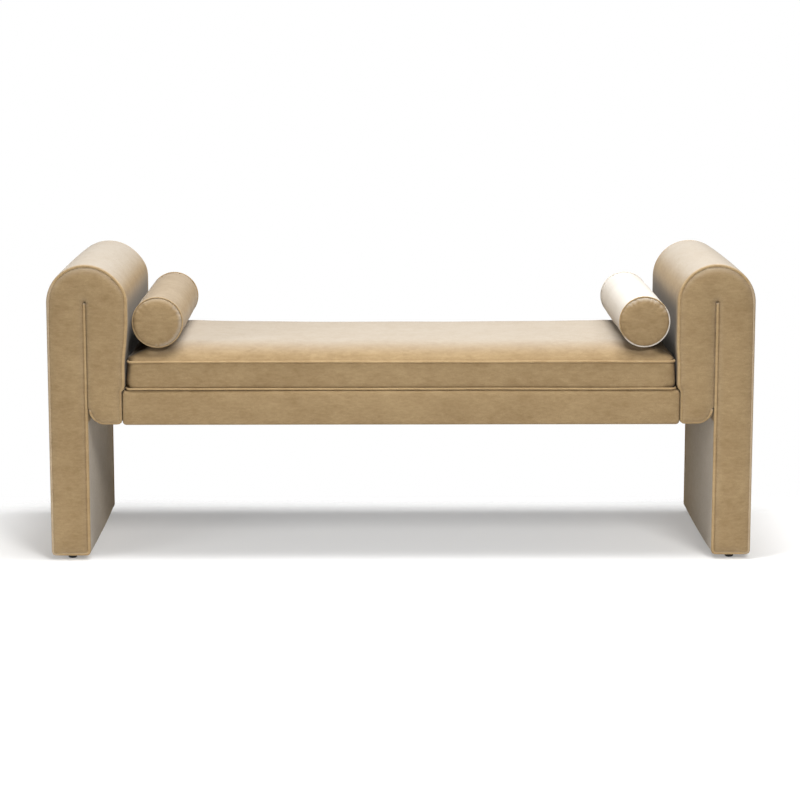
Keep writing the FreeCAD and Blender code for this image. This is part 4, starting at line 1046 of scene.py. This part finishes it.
def ring(side, radius, y, count):
    """A ring of points about a bolster's axis."""
    axis_x, axis_z, _ = bolster_axis(side)
    angles = np.linspace(0, 2 * math.pi, count, endpoint=False)
    return xyz(axis_x + radius * np.cos(angles), y, axis_z + radius * np.sin(angles))


def bolster_seams(side):
    """The two piped rings at a bolster's ends."""
    low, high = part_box(f"bolster_{side}_piping")
    half = sizes().bolster_piping / 2
    radius = (high[2] - low[2]) / 2 - half
    loops = [ring(side, radius, y, RIM_POINTS) for y in (low[1] + half, high[1] - half)]
    for loop in loops:
        loop[:, 1] += RIM_WANDER * ripple(loop, 40.0, SIDES[side])
    return loops


def settle_bolster(spots, seams, side, rim, seam_y):
    """Folds a bolster's cloth beside its seams within its bounds, and tells which points are on discs."""
    axis_x, axis_z, radius = bolster_axis(side)
    x, y, z = spots.T
    gap = nearest_gap(spots, seams)
    out_x, out_z = x - axis_x, z - axis_z
    angle, reach = np.arctan2(out_z, out_x), np.hypot(out_x, out_z)
    fold = ripple(xyz(np.cos(angle), np.sign(y) * 2.0, np.sin(angle)), 8.0, SIDES[side] + 4)
    disc = (np.abs(y) > seam_y) & (reach < rim + 0.001)
    y += disc * np.sign(y) * fold * gathers(gap, amount=0.0030, reach=0.018, start=0.004)
    loose = 0.0013 * ripple(spots, 14.0, SIDES[side] + 8) * part_way(gap, width=0.03)
    loose += fold * gathers(gap, amount=0.0014, reach=0.02, start=0.005)
    factor = 1 + ~disc * loose / np.maximum(reach, LEAST_REACH)
    reach *= factor
    farthest = radius + SPARE_BELOW + SPARE_ABOVE * part_way(out_z * factor, radius)
    factor *= np.minimum(1.0, farthest / np.maximum(reach, LEAST_REACH))
    x[:], z[:] = axis_x + out_x * factor, axis_z + out_z * factor
    return disc


def bolster(side):
    """A bolster: a round cover blown up between its piped ends, with puckered end discs."""
    name = f"bolster_{side}"
    front, back = bolster_seams(side)
    seams, seam_y = np.vstack([front, back]), back[:, 1].mean()
    rim = bolster_axis(side)[2] - RIM_INSET
    discs = [(share, -seam_y - rise) for share, rise in DISC_SHARES_AND_RISES]
    barrel = [(1.0 + BARREL_SHARE * (1 - (y / seam_y) ** 4), y)
              for y in np.linspace(-seam_y, seam_y, BARREL_RINGS)[1:]]
    levels = discs + barrel + [(share, -y) for share, y in discs[-2::-1]]
    rings = [ring(side, rim * share, y, BARREL_POINTS) for share, y in levels]
    body = closed_cover(f"{name}_velvet", rings, BOLSTER_VOXEL)
    spots = puff(body, nearest_gap(read_points(body.data), seams) < BOLSTER_SEWN, BOLSTER_CAP)
    disc = settle_bolster(spots, seams, side, rim, seam_y)
    write_points(body.data, spots)
    tilt_x, _, tilt_z = tilts(body).T
    # Painted sheen on the top; on the left also on the disc rims' right and lower side, where light catches
    # them
    up = TOP_PAINTED_SHEEN[side] * ramp(tilt_z, 0.2, 0.7)
    if side == "left":
        rim_sheen = ramp(np.hypot(tilt_x, tilt_z), 0.2, 0.5) * ramp(tilt_x * 0.95 - tilt_z * 0.3, 0.0, 0.5)
        up = np.maximum(up, 0.6 * rim_sheen * disc)
    else:
        # The right bolster's barrel takes the pale copy of the velvet: painted sheen all over
        body.data.materials.append(finish_named("raised"))
        for face in body.data.polygons:
            face.material_index = int(abs(face.center.y) < seam_y - PAINTED_SHEEN_FROM_SEAM)
    paint_sheen_and_shade(body, up)
    dress(body, name, "velvet", f"{name}_core", f"{name}_cover", f"{name}_end_panels")


def bolster_piping(side):
    """Piped rims of a bolster, with painted sheen on their tops; on the right the painted sheen also lies low
    down in front, and all round behind.
    """
    runs = [(loop, True) for loop in bolster_seams(side)]
    finish = "piping" if side == "left" else "raised_piping"
    cord = add_piping(f"bolster_{side}_piped_rims", runs, sizes().bolster_piping, finish)
    up = 0.4 * ramp(tilts(cord)[:, 2], 0.2, 0.6)
    if side == "right":
        axis_x, axis_z, radius = bolster_axis(side)
        x, y, z = read_points(cord.data).T
        low_side = ((x - axis_x) * 0.6 - (z - axis_z) * 0.8) / radius
        up = np.maximum(ramp(low_side, -0.15, 0.4), y > 0)
    paint_sheen_and_shade(cord, up)
    dress(cord, f"bolster_{side}", "piping", f"bolster_{side}_piping")


# The solids that stay

HARD = {
    "timber": ["seat_front_rail", "seat_back_rail", "seat_left_end_rail", "seat_right_end_rail",
               "seat_corner_blocks", "seat_braces"]
    + [f"arm_{side}_{part}" for side in SIDES for part in ("base_rail", "mount_rail", "battens")],
    "plywood": [f"arm_{side}_{part}" for side in SIDES for part in ("front_rib", "back_rib", "skin")],
    "steel": ["seat_bolts", "seat_bolt_washers", "seat_tee_nuts", "leg_glide_nails"],
    "plastic": ["leg_glides"],
    "brass": ["cushion_zip_slider"],
}


def hard_finishes():
    """Timber, plywood, metal and plastic on the solids that stay in view or inside."""
    for word, nodes in HARD.items():
        for node in nodes:
            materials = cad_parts[node].data.materials
            materials.clear()
            materials.append(finish_named(word))


# The stage

WHITE, WARM = (1.0, 1.0, 1.0), (1.0, 0.985, 0.96)
FLOOR_REACH, FLOOR_SHADES = 4.0, ((0.86, 0.86, 0.86), (0.88, 0.88, 0.88))
FLOOR_FADE, FLOOR_ALPHA, FLOOR_GLOW = (1.1, 2.6), 0.85, 0.15
BEHIND_BENCH, AIR_LIGHT = (0.24, 0.42), 0.15
AIM = (0.0, 0.0, 0.4)
# Each lamp's place, what it points at, its width and height, its power and its colour
LAMPS = {
    "studio_key": ((1.6, -4.1, 3.2), (0.05, 0.0, 0.4), (1.4, 1.4), 150.0, WARM),
    "studio_top": ((0.15, -0.2, 3.2), AIM, (2.0, 1.0), 126.0, WHITE),
    "studio_fill": ((-3.7, -3.3, 1.5), AIM, (2.0, 2.0), 80.0, WARM),
}
SENSOR, LENS = 36.0, 112.87
CAMERA_PLACE, CAMERA_TILT, CAMERA_TURN = (-0.0472, -5.5954, 1.2498), 0.1662, -0.0083


def add_floor():
    """Pale paper that fades out round the bench; the camera doesn't see it behind the bench or from below."""
    rim = rounded_loop(FLOOR_REACH, FLOOR_REACH, radius=FLOOR_REACH * 0.99, step=FLOOR_REACH * 0.12)
    floor = add_mesh("studio_floor", xyz(*rim.T, 0.0), [range(len(rim))], None)
    paint = Paint("studio_paper")
    tone = paint.mix(paint.spread(paint.noise(1.5), 0.3, 0.7), *FLOOR_SHADES)
    reach = paint.node("ShaderNodeVectorMath", {"operation": "LENGTH"}, "Value", Vector=paint.place)
    under = paint.node("ShaderNodeNewGeometry", out="Backfacing")
    looked_at = paint.node("ShaderNodeLightPath", out="Is Camera Ray")
    behind = paint.maths("MULTIPLY", paint.spread(paint.along("Y"), *BEHIND_BENCH), looked_at)
    alpha = paint.spread(reach, *FLOOR_FADE, FLOOR_ALPHA, 0.0)
    for hidden in (under, behind):
        alpha = paint.maths("MULTIPLY", alpha, paint.spread(hidden, 0.0, 1.0, 1.0, 0.0))
    floor.data.materials.append(paint.finish(
        Base_Color=tone, Alpha=alpha, Roughness=0.9, Specular_IOR_Level=0.05, Emission_Color=WHITE,
        Emission_Strength=FLOOR_GLOW))


def add_air():
    """White air that lights the bench only a little."""
    world = bpy.data.worlds.new("studio_air")
    world.use_nodes = True
    tree = world.node_tree
    seen = add_node(tree, "ShaderNodeLightPath", out="Is Camera Ray")
    strength = add_node(tree, "ShaderNodeMapRange", Value=seen, To_Min=AIR_LIGHT, To_Max=1.0)
    fill_named(tree, tree.nodes["Background"], Color=WHITE, Strength=strength)
    bpy.context.scene.world = world


def add_lamp(name, place, aim, size, power, colour):
    lamp = bpy.data.lights.new(name, "AREA")
    lamp.shape = "RECTANGLE"
    lamp.size, lamp.size_y = size
    lamp.energy = power
    lamp.color = colour
    holder = bpy.data.objects.new(name, lamp)
    holder.location = place
    holder.rotation_euler = (Vector(aim) - Vector(place)).to_track_quat("-Z", "Y").to_euler()
    bpy.context.scene.collection.objects.link(holder)


def add_camera():
    scene = bpy.context.scene
    lens = bpy.data.cameras.new("studio_camera")
    lens.sensor_width, lens.lens = SENSOR, LENS
    camera = bpy.data.objects.new("studio_camera", lens)
    camera.location = CAMERA_PLACE
    camera.rotation_euler = (math.pi / 2 - CAMERA_TILT, 0.0, CAMERA_TURN)
    scene.collection.objects.link(camera)
    scene.camera = camera
    scene.view_settings.view_transform = "Standard"


# Operators

class MakeHardFinishes(bpy.types.Operator):
    """Finishes for the timber, plywood, metal and plastic"""
    bl_idname = "bench.hard_finishes"
    bl_label = "Hard finishes"

    def execute(self, context):
        hard_finishes()
        return {"FINISHED"}


class MakeArmCovers(bpy.types.Operator):
    """Velvet bands and padded faces of both arms"""
    bl_idname = "bench.arm_covers"
    bl_label = "Arm covers"

    def execute(self, context):
        for side in SIDES:
            arm_band(side)
            for end in ENDS:
                arm_face(side, end)
        return {"FINISHED"}


class MakeArmPiping(bpy.types.Operator):
    """Piped seams of both arms"""
    bl_idname = "bench.arm_piping"
    bl_label = "Arm piping"

    def execute(self, context):
        for side in SIDES:
            arm_piping(side)
        return {"FINISHED"}


class MakeSeat(bpy.types.Operator):
    """Velvet cover, dust cloth, staples and straps of the seat"""
    bl_idname = "bench.seat"
    bl_label = "Seat"

    def execute(self, context):
        seat_dress()
        seat_underside()
        seat_straps()
        return {"FINISHED"}


class MakeCushion(bpy.types.Operator):
    """The seat cushion with its piped seams"""
    bl_idname = "bench.cushion"
    bl_label = "Cushion"

    def execute(self, context):
        cushion()
        cushion_piping()
        return {"FINISHED"}


class MakeZip(bpy.types.Operator):
    """The zip in the back of the cushion"""
    bl_idname = "bench.cushion_zip"
    bl_label = "Cushion zip"

    def execute(self, context):
        cushion_zip()
        return {"FINISHED"}


class MakeBolsters(bpy.types.Operator):
    """The two bolsters with their piped rims"""
    bl_idname = "bench.bolsters"
    bl_label = "Bolsters"

    def execute(self, context):
        for side in SIDES:
            bolster(side)
            bolster_piping(side)
        return {"FINISHED"}


class MakeStage(bpy.types.Operator):
    """Floor, air, lamps and camera"""
    bl_idname = "bench.stage"
    bl_label = "Stage"

    def execute(self, context):
        add_floor()
        add_air()
        for name, facts in LAMPS.items():
            add_lamp(name, *facts)
        add_camera()
        return {"FINISHED"}


OPERATORS = (MakeHardFinishes, MakeArmCovers, MakeArmPiping, MakeSeat, MakeCushion, MakeZip, MakeBolsters,
             MakeStage)


class BenchPanel(bpy.types.Panel):
    """Sizes, colours and pieces of the bench"""
    bl_idname = "VIEW3D_PT_bench"
    bl_label = "Bench"
    bl_space_type = "VIEW_3D"
    bl_region_type = "UI"
    bl_category = "Bench"

    def draw(self, context):
        for group in (context.scene.bench_sizes, context.scene.bench_colours):
            column = self.layout.column()
            for name in group.__annotations__:
                column.prop(group, name)
        for operator in OPERATORS:
            self.layout.operator(operator.bl_idname)


CLASSES = (BenchSizes, BenchColours, *OPERATORS, BenchPanel)


def register():
    for made in CLASSES:
        bpy.utils.register_class(made)
    bpy.types.Scene.bench_sizes = PointerProperty(type=BenchSizes)
    bpy.types.Scene.bench_colours = PointerProperty(type=BenchColours)


def unregister():
    del bpy.types.Scene.bench_colours
    del bpy.types.Scene.bench_sizes
    for made in reversed(CLASSES):
        bpy.utils.unregister_class(made)


def main():
    register()
    for operator in OPERATORS:
        group, name = operator.bl_idname.split(".")
        getattr(getattr(bpy.ops, group), name)()


if __name__ == "__main__":
    main()
